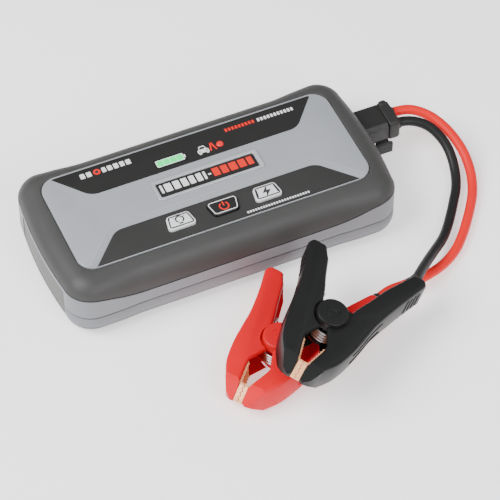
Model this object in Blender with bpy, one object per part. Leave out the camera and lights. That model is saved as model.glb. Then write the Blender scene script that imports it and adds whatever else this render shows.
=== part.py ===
"""Jump starter pack with its plug-in clamp leads.

The pack lies flat on the floor, its underside centred on the origin. +X runs to the
socket end, -Y to the long side with the keys, +Z up. Dimensions are in millimetres and
become metres in the mesh.
"""

import math

import bmesh
import bpy
from mathutils import Matrix, Vector

MM = 0.001
GAP = 0.3

# Pack case
HALF_LENGTH = 91.0
END_BOW = 2.0
FLARE_HALF = 44.0
WAIST_HALF = 43.4
WAIST_END = 52.0
FLARE_START = 66.0
CORNER_R = 14.0
CORNER_X = 75.0
CORNER_Y = 30.0
CASE_HEIGHT = 36.0
PART_Z = 14.0
RIM_Z = 21.5
RIM_RISE = 5.5
RIM_RISE_FROM = 50.0
RIM_RISE_TO = 82.0
WALL = 2.2
FLOOR_Z = 1.4
EDGE_R = 7.5
BEZEL_INSET = 10.0
BEZEL_PROFILE = ((0.35, 0.13), (1.2, 0.36), (2.6, 0.58), (4.6, 0.78), (6.8, 0.905), (8.6, 0.965))

# Face panel and what sits in it
PANEL_X = 78.6
PANEL_Y = 31.0
PANEL_FAR = 1.05
PANEL_R = 9.0
PANEL_BOTTOM = 32.9
FAR_INLAY = ((-56.3, 13.6), (56.3, 13.6), (71.0, 31.2), (-71.0, 31.2))
NEAR_INLAY = ((54.2, -12.2), (-54.2, -12.2), (-71.0, -30.4), (71.0, -30.4))
INLAY_R = 9.0
INLAY_TIP_R = 0.5
INLAY_FLOOR = 34.7
INLAY_BOTTOM = 34.8
INLAY_TOP = 36.1
LABEL_BOX = (-25.0, 28.3, -2.5, 7.0)
LABEL_FRAME = (-27.0, 31.0, -4.0, 9.3)
GAUGE_BOX = (-19.6, -2.8, 16.2, 21.8)
LED_AT = (15.8, 19.3)
LED_R = 1.9
KEY_BOTTOM = 31.0
KEY_FLANGE = 32.5
KEY_TOP = 36.9
KEY_TRAVEL = 0.8
KEY_Y = (-24.5, -15.5)
KEYS = {
    "light_key": (-22.8, 15.5, 12.0),
    "power_key": (0.8, 13.0, 17.0),
    "start_key": (24.0, 15.0, 12.0),
}

# Inside the case
BOARD = (-60.0, 60.0, -28.0, 28.0, 24.4, 26.0)
SWITCH_TOP = KEY_BOTTOM - KEY_TRAVEL - 0.1
CELL_Z = (3.6, 9.9, 16.2)
CELL_SIZE = (116.0, 58.0, 6.0)
CELL_X = -4.0
BOSS_AT = (78.0, 33.0)
BOSS_R = 3.6
SCREW_R = 1.4

# Socket, plug and end fittings
PLUG_Y = 15.0
PLUG_Z = 17.0
PLUG_HALF_Y = 7.5
PLUG_HALF_Z = 5.3
PLUG_X = (78.0, 106.0)
COLLAR_X = (106.3, 111.5)
PORT_BLOCK_Z = (7.6, 21.2)
SOCKET_X = (70.0, 90.4)
CONTACT_DY = 3.7
CONTACT_R = 1.8
SLEEVE_R = (2.6, 2.1)
COVER_HINGE = (91.9, -2.4)
COVER_END_X = 103.2
COVER_Z = (14.0, 20.6)
FLAP_Y = (-29.5, 24.5)
FLAP_Z = (7.2, 24.5)
FLAP_OPENING_X = -84.0
FLAP_HINGE_X = -90.4
PORT_X = -86.6
TORCH_AT = (-24.0, 16.5)

# Leads
CABLE_R = 2.6
RED_ROUTE = (
    (104.0, 18.9, 17.0),
    (109.0, 18.9, 17.0),
    (115.6, 18.8, 17.0),
    (122.3, 17.4, 16.9),
    (127.7, 13.5, 16.4),
    (132.3, 7.7, 15.2),
    (135.9, -0.2, 13.2),
    (138.0, -8.2, 10.6),
    (138.8, -15.6, 7.8),
    (137.9, -23.5, 5.4),
    (135.7, -30.7, 3.8),
    (132.2, -37.9, 3.0),
    (127.4, -45.1, 2.8),
    (122.0, -52.1, 2.8),
    (115.4, -60.0, 2.8),
    (107.6, -67.6, 2.8),
    (98.4, -73.6, 3.4),
    (88.6, -77.8, 5.0),
    (79.0, -80.4, 6.6),
    (70.4, -81.2, 7.6),
    (62.4, -82.2, 8.6),
)
BLACK_ROUTE = (
    (104.0, 11.1, 17.0),
    (109.0, 11.1, 17.0),
    (115.6, 11.0, 17.0),
    (121.8, 8.6, 16.6),
    (126.9, 4.2, 15.4),
    (130.1, -1.4, 13.2),
    (132.0, -7.7, 10.2),
    (132.0, -14.8, 6.8),
    (130.0, -23.0, 4.0),
    (126.5, -30.6, 3.0),
    (121.6, -37.8, 2.8),
    (115.6, -46.0, 2.8),
    (109.6, -53.6, 3.4),
    (102.8, -61.1, 5.5),
    (93.1, -69.8, 9.4),
    (83.0, -79.4, 14.4),
)
CABLE_STEP = 6.0

# Clamps: v runs from the jaws to the handles, u across, w along the pivot
HALF_THICK = 8.0
POCKET_W = 6.4
SKIN = 2.0
OUTER_EDGE = (
    (4.2, -38.9),
    (7.4, -37.0),
    (11.8, -30.2),
    (15.6, -23.0),
    (18.4, -12.5),
    (19.9, -2.5),
    (21.0, 6.5),
    (22.9, 15.0),
    (25.4, 24.0),
    (27.8, 32.0),
)
FREE_HANDLE_END = 37.0
CABLE_HANDLE_END = 48.0
INNER_EDGE = (
    (15.6, 30.0),
    (12.4, 20.5),
    (9.4, 13.0),
    (7.4, 6.5),
    (6.6, 0.0),
    (1.1, -8.0),
    (5.8, -18.0),
    (5.2, -22.0),
    (3.4, -29.5),
    (2.7, -37.6),
)
EAR_R = 7.8
EAR_CLEAR_R = 9.2
EAR_W = (4.3, 6.1)
PIN_R = 2.5
PIN_HEAD_R = 5.6
CAP_R = 8.0
CAP_W = (8.3, 10.5)
JAW_W = 5.8
TOOTH_V = (-38.4, -19.4)
TOOTH_COUNT = 11
TOOTH_HEIGHT = 0.7
JAW_PARTING_V = -31.0
JAW_GAPE = (2.1, 0.24)
NOSE_WEDGE = ((-26.7, 12.0), (-39.65, 0.0), (-45.0, 0.0), (-45.0, 12.0))
NOSE_SOCKET = ((3.2, -42.0), (3.2, -32.2), (5.6, -30.6), (9.4, -27.6), (13.0, -22.6))
JAW_BACK = ((3.0, -38.4), (3.0, -32.0), (5.2, -30.5), (8.9, -27.5), (12.3, -22.5), (13.4, -17.0), (8.0, -15.0))
JAW_HOLLOW = ((-2.0, -31.4), (1.6, -31.4), (4.0, -29.6), (7.8, -26.9), (10.8, -21.8), (11.4, -8.0), (-2.0, -8.0))
CABLE_ENTRY_U = 25.4
SPRING_R = 8.8
SPRING_WIRE_R = 0.7
SPRING_TURNS = 3
SPRING_W = 3.2
SPRING_START = -20.0
SPRING_LAST = 140.0
CLAMPS = {
    "black": {"at": (18.5, -103.6, 29.3), "turn": 39.5, "lean": 14.0, "pitch": -4.0},
    "red": {"at": (-2.2, -93.0, 9.2), "turn": 34.2, "lean": 0.0, "pitch": 0.0},
}


# ---------------------------------------------------------------- scene and materials
def clear_scene():
    for obj in list(bpy.data.objects):
        bpy.data.objects.remove(obj)


def material(name, colour, roughness=0.5, metallic=0.0):
    made = bpy.data.materials.new(name)
    made.use_nodes = True
    shader = made.node_tree.nodes["Principled BSDF"]
    shader.inputs["Base Color"].default_value = (*colour, 1.0)
    shader.inputs["Roughness"].default_value = roughness
    shader.inputs["Metallic"].default_value = metallic
    return made


# ---------------------------------------------------------------- solids
def solid(name, points, faces, made_of):
    mesh = bpy.data.meshes.new(name)
    mesh.from_pydata([Vector(p) * MM for p in points], [], faces)
    graph = bmesh.new()
    graph.from_mesh(mesh)
    bmesh.ops.recalc_face_normals(graph, faces=graph.faces)
    graph.to_mesh(mesh)
    graph.free()
    obj = bpy.data.objects.new(name, mesh)
    bpy.context.scene.collection.objects.link(obj)
    if made_of:
        mesh.materials.append(made_of)
    return obj


def loft(name, rings, made_of, looped=False):
    """Skin rings of equally many points, capped at both ends, or looped back to the first."""
    count = len(rings[0])
    points = [p for ring in rings for p in ring]
    faces = []
    steps = len(rings) if looped else len(rings) - 1
    for low in range(steps):
        high = (low + 1) % len(rings)
        for i in range(count):
            j = (i + 1) % count
            faces.append((low * count + i, low * count + j, high * count + j, high * count + i))
    if not looped:
        faces.append(tuple(reversed(range(count))))
        faces.append(tuple(range((len(rings) - 1) * count, len(rings) * count)))
    return solid(name, points, faces, made_of)


def at_z(outline, z):
    return [(x, y, z) for x, y in outline]


def prism(name, outline, z0, z1, made_of, edge=0.0):
    """Straight extrusion along z, its two ends chamfered by edge."""
    if not edge:
        return loft(name, [at_z(outline, z0), at_z(outline, z1)], made_of)
    small = inset(outline, edge)
    rings = [at_z(small, z0), at_z(outline, z0 + edge)]
    rings += [at_z(outline, z1 - edge), at_z(small, z1)]
    return loft(name, rings, made_of)


def block(name, x0, x1, y0, y1, z0, z1, made_of, edge=0.0):
    return prism(name, [(x0, y0), (x1, y0), (x1, y1), (x0, y1)], z0, z1, made_of, edge)


def circle(radius, count, x=0.0, y=0.0):
    angles = [2 * math.pi * i / count for i in range(count)]
    return [(x + radius * math.cos(a), y + radius * math.sin(a)) for a in angles]


def turned(name, profile, made_of, count=16, looped=False):
    """Round solid about z from (radius, z) pairs."""
    return loft(name, [at_z(circle(r, count), z) for r, z in profile], made_of, looped)


def stand_at(obj, matrix):
    """Move the mesh itself, leaving the origin where it is."""
    shift = matrix.copy()
    shift.translation = shift.translation * MM
    obj.data.transform(shift)
    return obj


def along_x(x, y, z):
    """Carries the z axis onto the x axis at this point."""
    return Matrix.Translation((x, y, z)) @ Matrix.Rotation(math.radians(90), 4, "Y")


def hinge_origin(obj, x, y, z):
    """Put the object's origin at this point, its mesh staying where it is."""
    point = Vector((x, y, z)) * MM
    obj.data.transform(Matrix.Translation(-point))
    obj.location = point
    return obj


def boolean(obj, other, operation):
    other.hide_render = True
    other.display_type = "WIRE"
    step = obj.modifiers.new(operation.lower(), "BOOLEAN")
    step.operation = operation
    step.solver = "EXACT"
    step.object = other
    return obj


def cut(obj, *cutters):
    for cutter in cutters:
        boolean(obj, cutter, "DIFFERENCE")
    return obj


def join(obj, *others):
    for other in others:
        boolean(obj, other, "UNION")
    return obj


# ---------------------------------------------------------------- outlines
def arc(x, y, radius, start, stop, steps):
    angles = [math.radians(start + (stop - start) * i / steps) for i in range(steps + 1)]
    return [(x + radius * math.cos(a), y + radius * math.sin(a)) for a in angles]


def four_quarters(quarter):
    """Whole outline from the quarter running from the x axis to the y axis."""
    second = [(-x, y) for x, y in reversed(quarter) if x > 0]
    half = quarter + second
    return half + [(x, -y) for x, y in reversed(half) if y > 0]


def smooth(t):
    t = min(max(t, 0.0), 1.0)
    return t * t * (3 - 2 * t)


def case_quarter():
    points = [(HALF_LENGTH - END_BOW * (y / CORNER_Y) ** 2, y) for y in (0.0, 11.0, 21.0)]
    points += arc(CORNER_X, CORNER_Y, CORNER_R, 0, 90, 6)
    for step in range(4):
        t = 1 - step / 3
        x = WAIST_END + (FLARE_START - WAIST_END) * t
        points.append((x, WAIST_HALF + (FLARE_HALF - WAIST_HALF) * smooth(t)))
    return points + [(26.0, WAIST_HALF), (0.0, WAIST_HALF)]


def panel_quarter(grow=0.0):
    """Panel outline with as many points as the case outline."""
    x = PANEL_X + grow
    y = PANEL_Y + grow
    radius = PANEL_R + grow
    points = [(x, 0.0), (x, 8.0), (x, 16.0)]
    points += arc(x - radius, y - radius, radius, 0, 90, 6)
    return points + [(64.0, y), (60.0, y), (56.0, y), (52.0, y), (26.0, y), (0.0, y)]


def panel_outline(grow=0.0):
    """Panel outline; its far half is drawn out so that the far edge lies nearer the rim."""
    return [(x, y * PANEL_FAR if y > 0 else y) for x, y in four_quarters(panel_quarter(grow))]


def inset(outline, amount):
    """Outline moved inward by amount; anticlockwise points."""
    moved = []
    for i, (x, y) in enumerate(outline):
        x0, y0 = outline[i - 1]
        x1, y1 = outline[(i + 1) % len(outline)]
        a = Vector((x - x0, y - y0)).normalized()
        b = Vector((x1 - x, y1 - y)).normalized()
        normal = Vector((-(a.y + b.y), a.x + b.x))
        if normal.length < 1e-6:
            normal = Vector((-a.y, a.x))
        normal.normalize()
        reach = amount / max(0.5, normal.dot(Vector((-a.y, a.x))))
        moved.append((x + normal.x * reach, y + normal.y * reach))
    return moved


def blend(first, second, share):
    pairs = zip(first, second)
    return [(p[0] + (q[0] - p[0]) * share, p[1] + (q[1] - p[1]) * share) for p, q in pairs]


def rim_height(x):
    span = (abs(x) - RIM_RISE_FROM) / (RIM_RISE_TO - RIM_RISE_FROM)
    return RIM_Z + RIM_RISE * smooth(span)


def at_rim(outline, above, towards=None, share=0.0):
    """Ring that follows the rim of the grey shells, part of the way up to a level."""
    ring = []
    for x, y in outline:
        low = rim_height(x) + above
        ring.append((x, y, low if towards is None else low + (towards - low) * share))
    return ring


def trapezoid(centre_x, low_width, high_width, y0, y1):
    points = [(centre_x - low_width / 2, y0), (centre_x + low_width / 2, y0)]
    return points + [(centre_x + high_width / 2, y1), (centre_x - high_width / 2, y1)]


def rounded(outline, radii, steps=3):
    """Fillet every corner of an anticlockwise outline, by one radius or one each."""
    points = []
    for i, corner in enumerate(outline):
        radius = radii[i] if isinstance(radii, tuple) else radii
        here = Vector(corner)
        back = (Vector(outline[i - 1]) - here).normalized()
        ahead = (Vector(outline[(i + 1) % len(outline)]) - here).normalized()
        half_angle = back.angle(ahead) / 2
        start = here + back * (radius / math.tan(half_angle))
        stop = here + ahead * (radius / math.tan(half_angle))
        centre = here + (back + ahead).normalized() * (radius / math.sin(half_angle))
        for step in range(steps + 1):
            mix = (start - centre).lerp(stop - centre, step / steps)
            points.append(tuple(centre + mix.normalized() * radius))
    return points


def rectangle(x0, x1, y0, y1):
    return [(x0, y0), (x1, y0), (x1, y1), (x0, y1)]


# ---------------------------------------------------------------- case
def case_outline(depth=0.0):
    outline = four_quarters(case_quarter())
    return inset(outline, depth) if depth else outline


def socket_cutter(name, spare):
    return block(
        name,
        SOCKET_X[0] - 2,
        HALF_LENGTH + 2,
        PLUG_Y - PLUG_HALF_Y - 2.4 - spare,
        PLUG_Y + PLUG_HALF_Y + 2.4 + spare,
        PLUG_Z - PLUG_HALF_Z - 2.4 - spare,
        PLUG_Z + PLUG_HALF_Z + 2.4 + spare,
        None,
    )


def flap_cutter(name):
    x0 = -HALF_LENGTH - 2
    return block(name, x0, FLAP_OPENING_X, *FLAP_Y, *FLAP_Z, None)


def torch_cutter(name):
    cutter = turned(name, [(6.9, -5.0), (6.9, 8.0)], None, 20)
    return stand_at(cutter, along_x(85.0, *TORCH_AT))


def screw_places():
    x, y = BOSS_AT
    return [(x, y), (-x, y), (-x, -y), (x, -y)]


def build_base_pad(made_of):
    outline = case_outline(EDGE_R + 1.5)
    pad = loft("base_pad", [at_z(outline, 0.0), at_z(outline, FLOOR_Z - 0.1)], made_of)
    for i, (x, y) in enumerate(screw_places()):
        hole = turned(f"cut_pad_{i}", [(3.2, -1.0), (3.2, 3.0)], None, 12)
        cut(pad, stand_at(hole, Matrix.Translation((x, y, 0))))
    return pad


def build_lower_shell(made_of):
    top = PART_Z - 0.15
    rings = [at_z(case_outline(EDGE_R), FLOOR_Z)]
    rings += [at_z(case_outline(EDGE_R * 0.29), FLOOR_Z + EDGE_R * 0.29)]
    rings += [at_z(case_outline(), FLOOR_Z + EDGE_R), at_z(case_outline(), top)]
    rings += [at_z(case_outline(WALL), top), at_z(case_outline(WALL), FLOOR_Z + EDGE_R)]
    rings += [at_z(case_outline(EDGE_R + 0.8), FLOOR_Z + WALL - 0.4)]
    shell = loft("lower_shell", rings, made_of)
    for i, (x, y) in enumerate(screw_places()):
        here = Matrix.Translation((x, y, 0))
        boss = turned(f"join_boss_{i}", [(BOSS_R, FLOOR_Z + 1.0), (BOSS_R, top)], None, 16)
        bore = turned(f"cut_boss_{i}", [(1.7, 0.0), (1.7, 20.0)], None, 12)
        sink = turned(f"cut_sink_{i}", [(3.0, 0.0), (3.0, 3.0)], None, 12)
        join(shell, stand_at(boss, here))
        cut(shell, stand_at(bore, here), stand_at(sink, here))
    cutters = [socket_cutter("cut_lower_socket", GAP), flap_cutter("cut_lower_flap")]
    return cut(shell, *cutters, torch_cutter("cut_lower_torch"))


def build_upper_shell(made_of):
    low = PART_Z + 0.15
    rings = [at_z(case_outline(), low), at_rim(case_outline(), 0.0)]
    rings += [at_rim(case_outline(WALL), 0.0), at_z(case_outline(WALL), low)]
    shell = loft("upper_shell", rings, made_of, looped=True)
    for i, (x, y) in enumerate(screw_places()):
        angle = math.radians(45 if x * y > 0 else -45)
        if x < 0:
            angle += math.pi
        here = Matrix.Translation((x, y, 0)) @ Matrix.Rotation(angle, 4, "Z")
        web = block(f"join_web_{i}", -3.4, 8.0, -3.4, 3.4, low, low + 5.0, None)
        bore = turned(f"cut_web_{i}", [(1.7, 0.0), (1.7, 30.0)], None, 12)
        join(shell, stand_at(web, here))
        cut(shell, stand_at(bore, here))
    cutters = [socket_cutter("cut_upper_socket", GAP), flap_cutter("cut_upper_flap")]
    return cut(shell, *cutters, torch_cutter("cut_upper_torch"))


def build_bezel(made_of):
    panel = panel_outline(GAP)
    lip = panel_outline(-2.2)
    rings = [at_rim(case_outline(0.15), 0.2)]
    for depth, share in BEZEL_PROFILE:
        rings.append(at_rim(case_outline(depth), 0.2, CASE_HEIGHT - 0.5, share))
    top = blend(case_outline(BEZEL_INSET - 0.4), panel, 0.3)
    rings.append(at_z(top, CASE_HEIGHT - 0.5))
    rings += [at_z(panel, CASE_HEIGHT - 0.5), at_z(panel, PANEL_BOTTOM - GAP)]
    rings += [at_z(lip, PANEL_BOTTOM - GAP), at_z(lip, PANEL_BOTTOM - 2.0)]
    rings.append(at_rim(case_outline(7.6), 0.2, PANEL_BOTTOM - 2.0, 0.9))
    rings.append(at_rim(case_outline(WALL + 0.8), 0.2, CASE_HEIGHT, 0.12))
    rings.append(at_rim(case_outline(WALL + 0.1), 0.2))
    return loft("top_bezel", rings, made_of, looped=True)


# ---------------------------------------------------------------- face
def inlay_outline(corners):
    """Trapezoid with its two inner corners well rounded and its outer tips nearly sharp."""
    return rounded(corners, (INLAY_R, INLAY_R, INLAY_TIP_R, INLAY_TIP_R), 4)


def inlay_outlines():
    yield "far_inlay", inlay_outline(FAR_INLAY)
    yield "near_inlay", inlay_outline(NEAR_INLAY)


def key_outline(name, grow=0.0):
    x, low, high = KEYS[name]
    y0, y1 = KEY_Y
    shape = trapezoid(x, low + 2 * grow, high + 2 * grow, y0 - grow, y1 + grow)
    return rounded(shape, 2.0 + grow, 3)


def build_panel(made_of):
    outline = panel_outline()
    rings = [at_z(outline, PANEL_BOTTOM), at_z(outline, CASE_HEIGHT - 0.5)]
    rings.append(at_z(inset(outline, 0.5), CASE_HEIGHT))
    panel = loft("face_panel", rings, made_of)
    for name, shape in inlay_outlines():
        cut(panel, prism(f"cut_{name}", inset(shape, -0.15), INLAY_FLOOR, 40.0, None))
    pocket = rounded(rectangle(*LABEL_FRAME), 1.5, 2)
    cut(panel, prism("cut_label", inset(pocket, -0.15), INLAY_FLOOR, 40.0, None))
    gauge = rounded(rectangle(*GAUGE_BOX), 0.8, 1)
    cut(panel, prism("cut_gauge_seat", inset(gauge, -0.2), 33.6, 36.0, None))
    led = turned("cut_led_seat", [(LED_R + 0.2, 30.0), (LED_R + 0.2, 40.0)], None, 14)
    cut(panel, stand_at(led, Matrix.Translation((*LED_AT, 0))))
    for name in KEYS:
        cut(panel, prism(f"cut_panel_{name}", key_outline(name, GAP), 30.0, 40.0, None))
    return panel


def build_inlays(made_of):
    for name, shape in inlay_outlines():
        plate = prism(name, shape, INLAY_BOTTOM, INLAY_TOP, made_of)
        if name == "far_inlay":
            gauge = rounded(rectangle(*GAUGE_BOX), 0.8, 1)
            cut(plate, prism("cut_gauge", inset(gauge, -0.2), 30.0, 40.0, None))
            led = turned("cut_led", [(LED_R + 0.2, 30.0), (LED_R + 0.2, 40.0)], None, 14)
            cut(plate, stand_at(led, Matrix.Translation((*LED_AT, 0))))
        else:
            for key in KEYS:
                hole = prism(f"cut_inlay_{key}", key_outline(key, GAP), 30.0, 40.0, None)
                cut(plate, hole)


def build_label(plate_material, frame_material):
    outer = rounded(rectangle(*LABEL_FRAME), 1.5, 2)
    inner = rounded(rectangle(*LABEL_BOX), 0.9, 2)
    rings = [at_z(outer, INLAY_BOTTOM), at_z(outer, 36.2), at_z(inset(outer, 0.6), 36.6)]
    rings += [at_z(inner, 36.6), at_z(inner, INLAY_BOTTOM)]
    loft("label_frame", rings, frame_material, looped=True)
    prism("label_plate", inset(inner, GAP), INLAY_BOTTOM, 35.9, plate_material)


def build_lights(gauge_material, led_material):
    gauge = rounded(rectangle(*GAUGE_BOX), 0.8, 1)
    prism("gauge_lens", gauge, 33.7, 36.3, gauge_material)
    led = turned("status_led", [(LED_R, 30.5), (LED_R, 36.2), (LED_R * 0.6, 36.6)], led_material, 14)
    stand_at(led, Matrix.Translation((*LED_AT, 0)))


def build_keys(made_of):
    for name, key_material in made_of.items():
        small = key_outline(name)
        wide = key_outline(name, 1.2)
        rings = [at_z(wide, KEY_BOTTOM), at_z(wide, KEY_FLANGE), at_z(small, KEY_FLANGE)]
        rings += [at_z(small, KEY_TOP - 0.5), at_z(inset(small, 0.6), KEY_TOP)]
        key = loft(name, rings, key_material)
        hinge_origin(key, KEYS[name][0], sum(KEY_Y) / 2, KEY_BOTTOM)


# ---------------------------------------------------------------- inside
def build_inside(board_material, cell_material, switch_material):
    block("main_board", *BOARD, board_material)
    y = sum(KEY_Y) / 2
    for name, (x, _, _) in KEYS.items():
        body = [(3.0, BOARD[5] + 0.1), (3.0, 28.6), (1.7, 28.6), (1.7, SWITCH_TOP)]
        switch = turned(name.replace("key", "switch"), body, switch_material, 12)
        stand_at(switch, Matrix.Translation((x, y, 0)))
    length, width, height = CELL_SIZE
    for i, z in enumerate(CELL_Z):
        x0 = CELL_X - length / 2
        x1 = CELL_X + length / 2
        name = f"battery_cell_{i + 1}"
        block(name, x0, x1, -width / 2, width / 2, z, z + height, cell_material, 0.9)


def build_screws(made_of):
    profile = [(2.5, 1.5), (2.7, 1.9), (2.7, 2.9), (SCREW_R, 2.95), (SCREW_R, 18.0), (0.5, 18.8)]
    for i, (x, y) in enumerate(screw_places()):
        screw = turned(f"case_screw_{i + 1}", profile, made_of, 12)
        stand_at(screw, Matrix.Translation((x, y, 0)))


# ---------------------------------------------------------------- ends
def side_rectangle(half_y, half_z, radius):
    shape = rectangle(-half_z, half_z, -half_y, half_y)
    return rounded(shape, radius, 3)


def plug_station(x, half_y, half_z, radius):
    """Ring of rounded rectangle across the plug's axis."""
    return [(x, PLUG_Y + b, PLUG_Z + a) for a, b in side_rectangle(half_y, half_z, radius)]


def build_socket(socket_material, contact_material):
    x0, x1 = SOCKET_X
    half_y = PLUG_HALF_Y + 2.2
    half_z = PLUG_HALF_Z + 2.2
    rings = [plug_station(x0, half_y, half_z, 2.0), plug_station(x1, half_y, half_z, 2.0)]
    inner_y = PLUG_HALF_Y + 0.4
    inner_z = PLUG_HALF_Z + 0.4
    rings.append(plug_station(x1, inner_y, inner_z, 1.8))
    rings.append(plug_station(PLUG_X[0] - 0.5, inner_y, inner_z, 1.8))
    socket = loft("output_socket", rings, socket_material)
    for i, side in enumerate((1, -1)):
        y = PLUG_Y + side * CONTACT_DY
        seat = turned(f"cut_contact_{i}", [(CONTACT_R + 0.15, -2.0), (CONTACT_R + 0.15, 12.0)], None, 14)
        cut(socket, stand_at(seat, along_x(x0 - 1, y, PLUG_Z)))
        profile = [(CONTACT_R, 0.0), (CONTACT_R, 16.4), (CONTACT_R - 0.9, 17.4)]
        contact = turned(f"socket_contact_{i + 1}", profile, contact_material, 14)
        stand_at(contact, along_x(x0 - 2.5, y, PLUG_Z))
    return socket


def build_socket_cover(made_of):
    """Rubber cover hanging open beside the plug, its stopper facing the socket side."""
    x, y = COVER_HINGE
    z0, z1 = COVER_Z
    outline = rounded(rectangle(x - 0.6, COVER_END_X, y - 1.1, y + 1.1), 0.9, 2)
    plate = prism("socket_cover", outline, z0, z1, made_of, 0.5)
    stopper = block("join_stopper", x + 3.3, x + 10.5, y + 0.9, y + 4.2, z0 + 1, z1 - 1, None, 0.7)
    rib = block("join_cover_rib", x + 0.2, x + 1.4, y - 1.5, y + 1.5, z0 + 0.6, z1 - 0.6, None, 0.3)
    return hinge_origin(join(plate, stopper, rib), x, y, (z0 + z1) / 2)


def flap_line(depth, steps=8):
    """Points of the bowed end face from one side of the flap to the other."""
    y0 = FLAP_Y[0] + GAP
    y1 = FLAP_Y[1] - GAP
    points = []
    for i in range(steps + 1):
        y = y0 + (y1 - y0) * i / steps
        points.append((-HALF_LENGTH + END_BOW * (y / CORNER_Y) ** 2 + depth, y))
    return points


def build_port_flap(made_of):
    outline = list(reversed(flap_line(0.2))) + flap_line(2.0)
    flap = prism("port_flap", outline, FLAP_Z[0] + GAP, FLAP_Z[1] - GAP, made_of, 0.3)
    notch = turned("cut_flap_notch", [(3.2, -3.0), (3.2, 3.0)], None, 14)
    cut(flap, stand_at(notch, along_x(-90.5, 2.0, FLAP_Z[1] + 1.6)))
    return hinge_origin(flap, FLAP_HINGE_X, 0.0, FLAP_Z[0] + GAP)


def build_ports(block_material, metal):
    """Block behind the flap with two wide ports, one small one and their metal liners."""
    holder = block("port_block", PORT_X, -76.0, FLAP_Y[0] + 2, FLAP_Y[1] - 2, *PORT_BLOCK_Z, block_material)
    for i, (y, half_y, half_z) in enumerate(((12.0, 7.0, 3.2), (-4.5, 7.0, 3.2), (-19.5, 4.9, 2.0))):
        shape = rectangle(-half_z, half_z, -half_y, half_y)
        hole = prism(f"cut_port_{i}", inset(shape, -0.2), -1.0, 9.0, None)
        cut(holder, stand_at(hole, along_x(PORT_X, y, 14.0)))
        rings = [at_z(shape, 8.6), at_z(shape, 0.3), at_z(inset(shape, 0.5), 0.3)]
        rings += [at_z(inset(shape, 0.5), 7.6)]
        liner = loft(f"port_liner_{i + 1}", rings, metal)
        tongue = block(f"join_tongue_{i}", -0.7, 0.7, -half_y + 2, half_y - 2, 1.6, 8.0, None)
        stand_at(tongue, along_x(PORT_X, y, 14.0))
        join(stand_at(liner, along_x(PORT_X, y, 14.0)), tongue)


def build_torch(lens_material, reflector_material):
    y, z = TORCH_AT
    lens = turned("torch_lens", [(6.5, 2.6), (6.5, 4.6), (5.6, 5.4)], lens_material, 20)
    stand_at(lens, along_x(85.0, y, z))
    profile = [(2.2, -4.0), (6.4, 1.0), (6.4, 2.4), (5.6, 2.4), (1.6, -3.0)]
    reflector = turned("torch_reflector", profile, reflector_material, 20)
    stand_at(reflector, along_x(85.0, y, z))


# ---------------------------------------------------------------- plug and leads
def build_plug(body_material, contact_material):
    x0, x1 = PLUG_X
    half_y = PLUG_HALF_Y
    half_z = PLUG_HALF_Z
    rings = [plug_station(x0, half_y - 0.8, half_z - 0.8, 1.4)]
    rings += [plug_station(x0 + 0.8, half_y, half_z, 1.6), plug_station(x1, half_y, half_z, 1.6)]
    plug = loft("plug_housing", rings, body_material)
    outer, inner = SLEEVE_R
    bore_r = outer + 0.25
    lead_r = CABLE_R + 0.3
    for i, side in enumerate((1, -1)):
        y = PLUG_Y + side * CONTACT_DY
        bore = turned(f"cut_plug_bore_{i}", [(bore_r, -2.0), (bore_r, 13.2)], None, 14)
        cut(plug, stand_at(bore, along_x(x0, y, PLUG_Z)))
        profile = [(outer, 13.0), (outer, 0.6), (inner, 0.6), (inner, 12.0)]
        sleeve = turned(f"plug_sleeve_{i + 1}", profile, contact_material, 14)
        stand_at(sleeve, along_x(x0, y, PLUG_Z))
        exit_y = (RED_ROUTE if side > 0 else BLACK_ROUTE)[0][1]
        lead = turned(f"cut_plug_lead_{i}", [(lead_r, 0.0), (lead_r, 6.0)], None, 12)
        cut(plug, stand_at(lead, along_x(x1 - 3.0, exit_y, PLUG_Z)))
    c0, c1 = COLLAR_X
    rings = [plug_station(c0, half_y + 0.3, half_z + 0.3, 2.2)]
    rings += [plug_station(c1 - 1.2, half_y + 0.5, half_z + 0.5, 2.6)]
    rings += [plug_station(c1, half_y - 0.4, half_z - 0.4, 2.4)]
    collar = loft("plug_collar", rings, body_material)
    for i, route in enumerate((RED_ROUTE, BLACK_ROUTE)):
        bore = turned(f"cut_collar_{i}", [(lead_r, -1.0), (lead_r, 8.0)], None, 12)
        cut(collar, stand_at(bore, along_x(c0, route[0][1], PLUG_Z)))


def smooth_route(points, step):
    """Evenly spaced points on a centripetal curve through the route points."""
    knots = [Vector(p) for p in points]
    knots = [2 * knots[0] - knots[1]] + knots + [2 * knots[-1] - knots[-2]]
    fine = []
    for a, b, c, d in zip(knots, knots[1:], knots[2:], knots[3:]):
        for i in range(12):
            t = i / 12
            fine.append(
                0.5 * (2 * b + (c - a) * t + (2 * a - 5 * b + 4 * c - d) * t * t
                       + (3 * b - a - 3 * c + d) * t ** 3)
            )
    fine.append(knots[-2])
    lengths = [0.0]
    for a, b in zip(fine, fine[1:]):
        lengths.append(lengths[-1] + (b - a).length)
    count = max(2, round(lengths[-1] / step))
    even = []
    index = 0
    for k in range(count + 1):
        goal = lengths[-1] * k / count
        while index < len(fine) - 2 and lengths[index + 1] < goal:
            index += 1
        span = lengths[index + 1] - lengths[index]
        share = (goal - lengths[index]) / span if span else 0.0
        even.append(fine[index].lerp(fine[index + 1], min(1.0, share)))
    return even


def tube(name, points, radius, made_of, roundness=2):
    curve = bpy.data.curves.new(name, "CURVE")
    curve.dimensions = "3D"
    curve.bevel_depth = radius * MM
    curve.bevel_resolution = roundness
    curve.use_fill_caps = True
    line = curve.splines.new("POLY")
    line.points.add(len(points) - 1)
    for spot, place in zip(line.points, points):
        spot.co = (*(Vector(place) * MM), 1.0)
    curve.materials.append(made_of)
    obj = bpy.data.objects.new(name, curve)
    bpy.context.scene.collection.objects.link(obj)
    return obj


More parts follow.
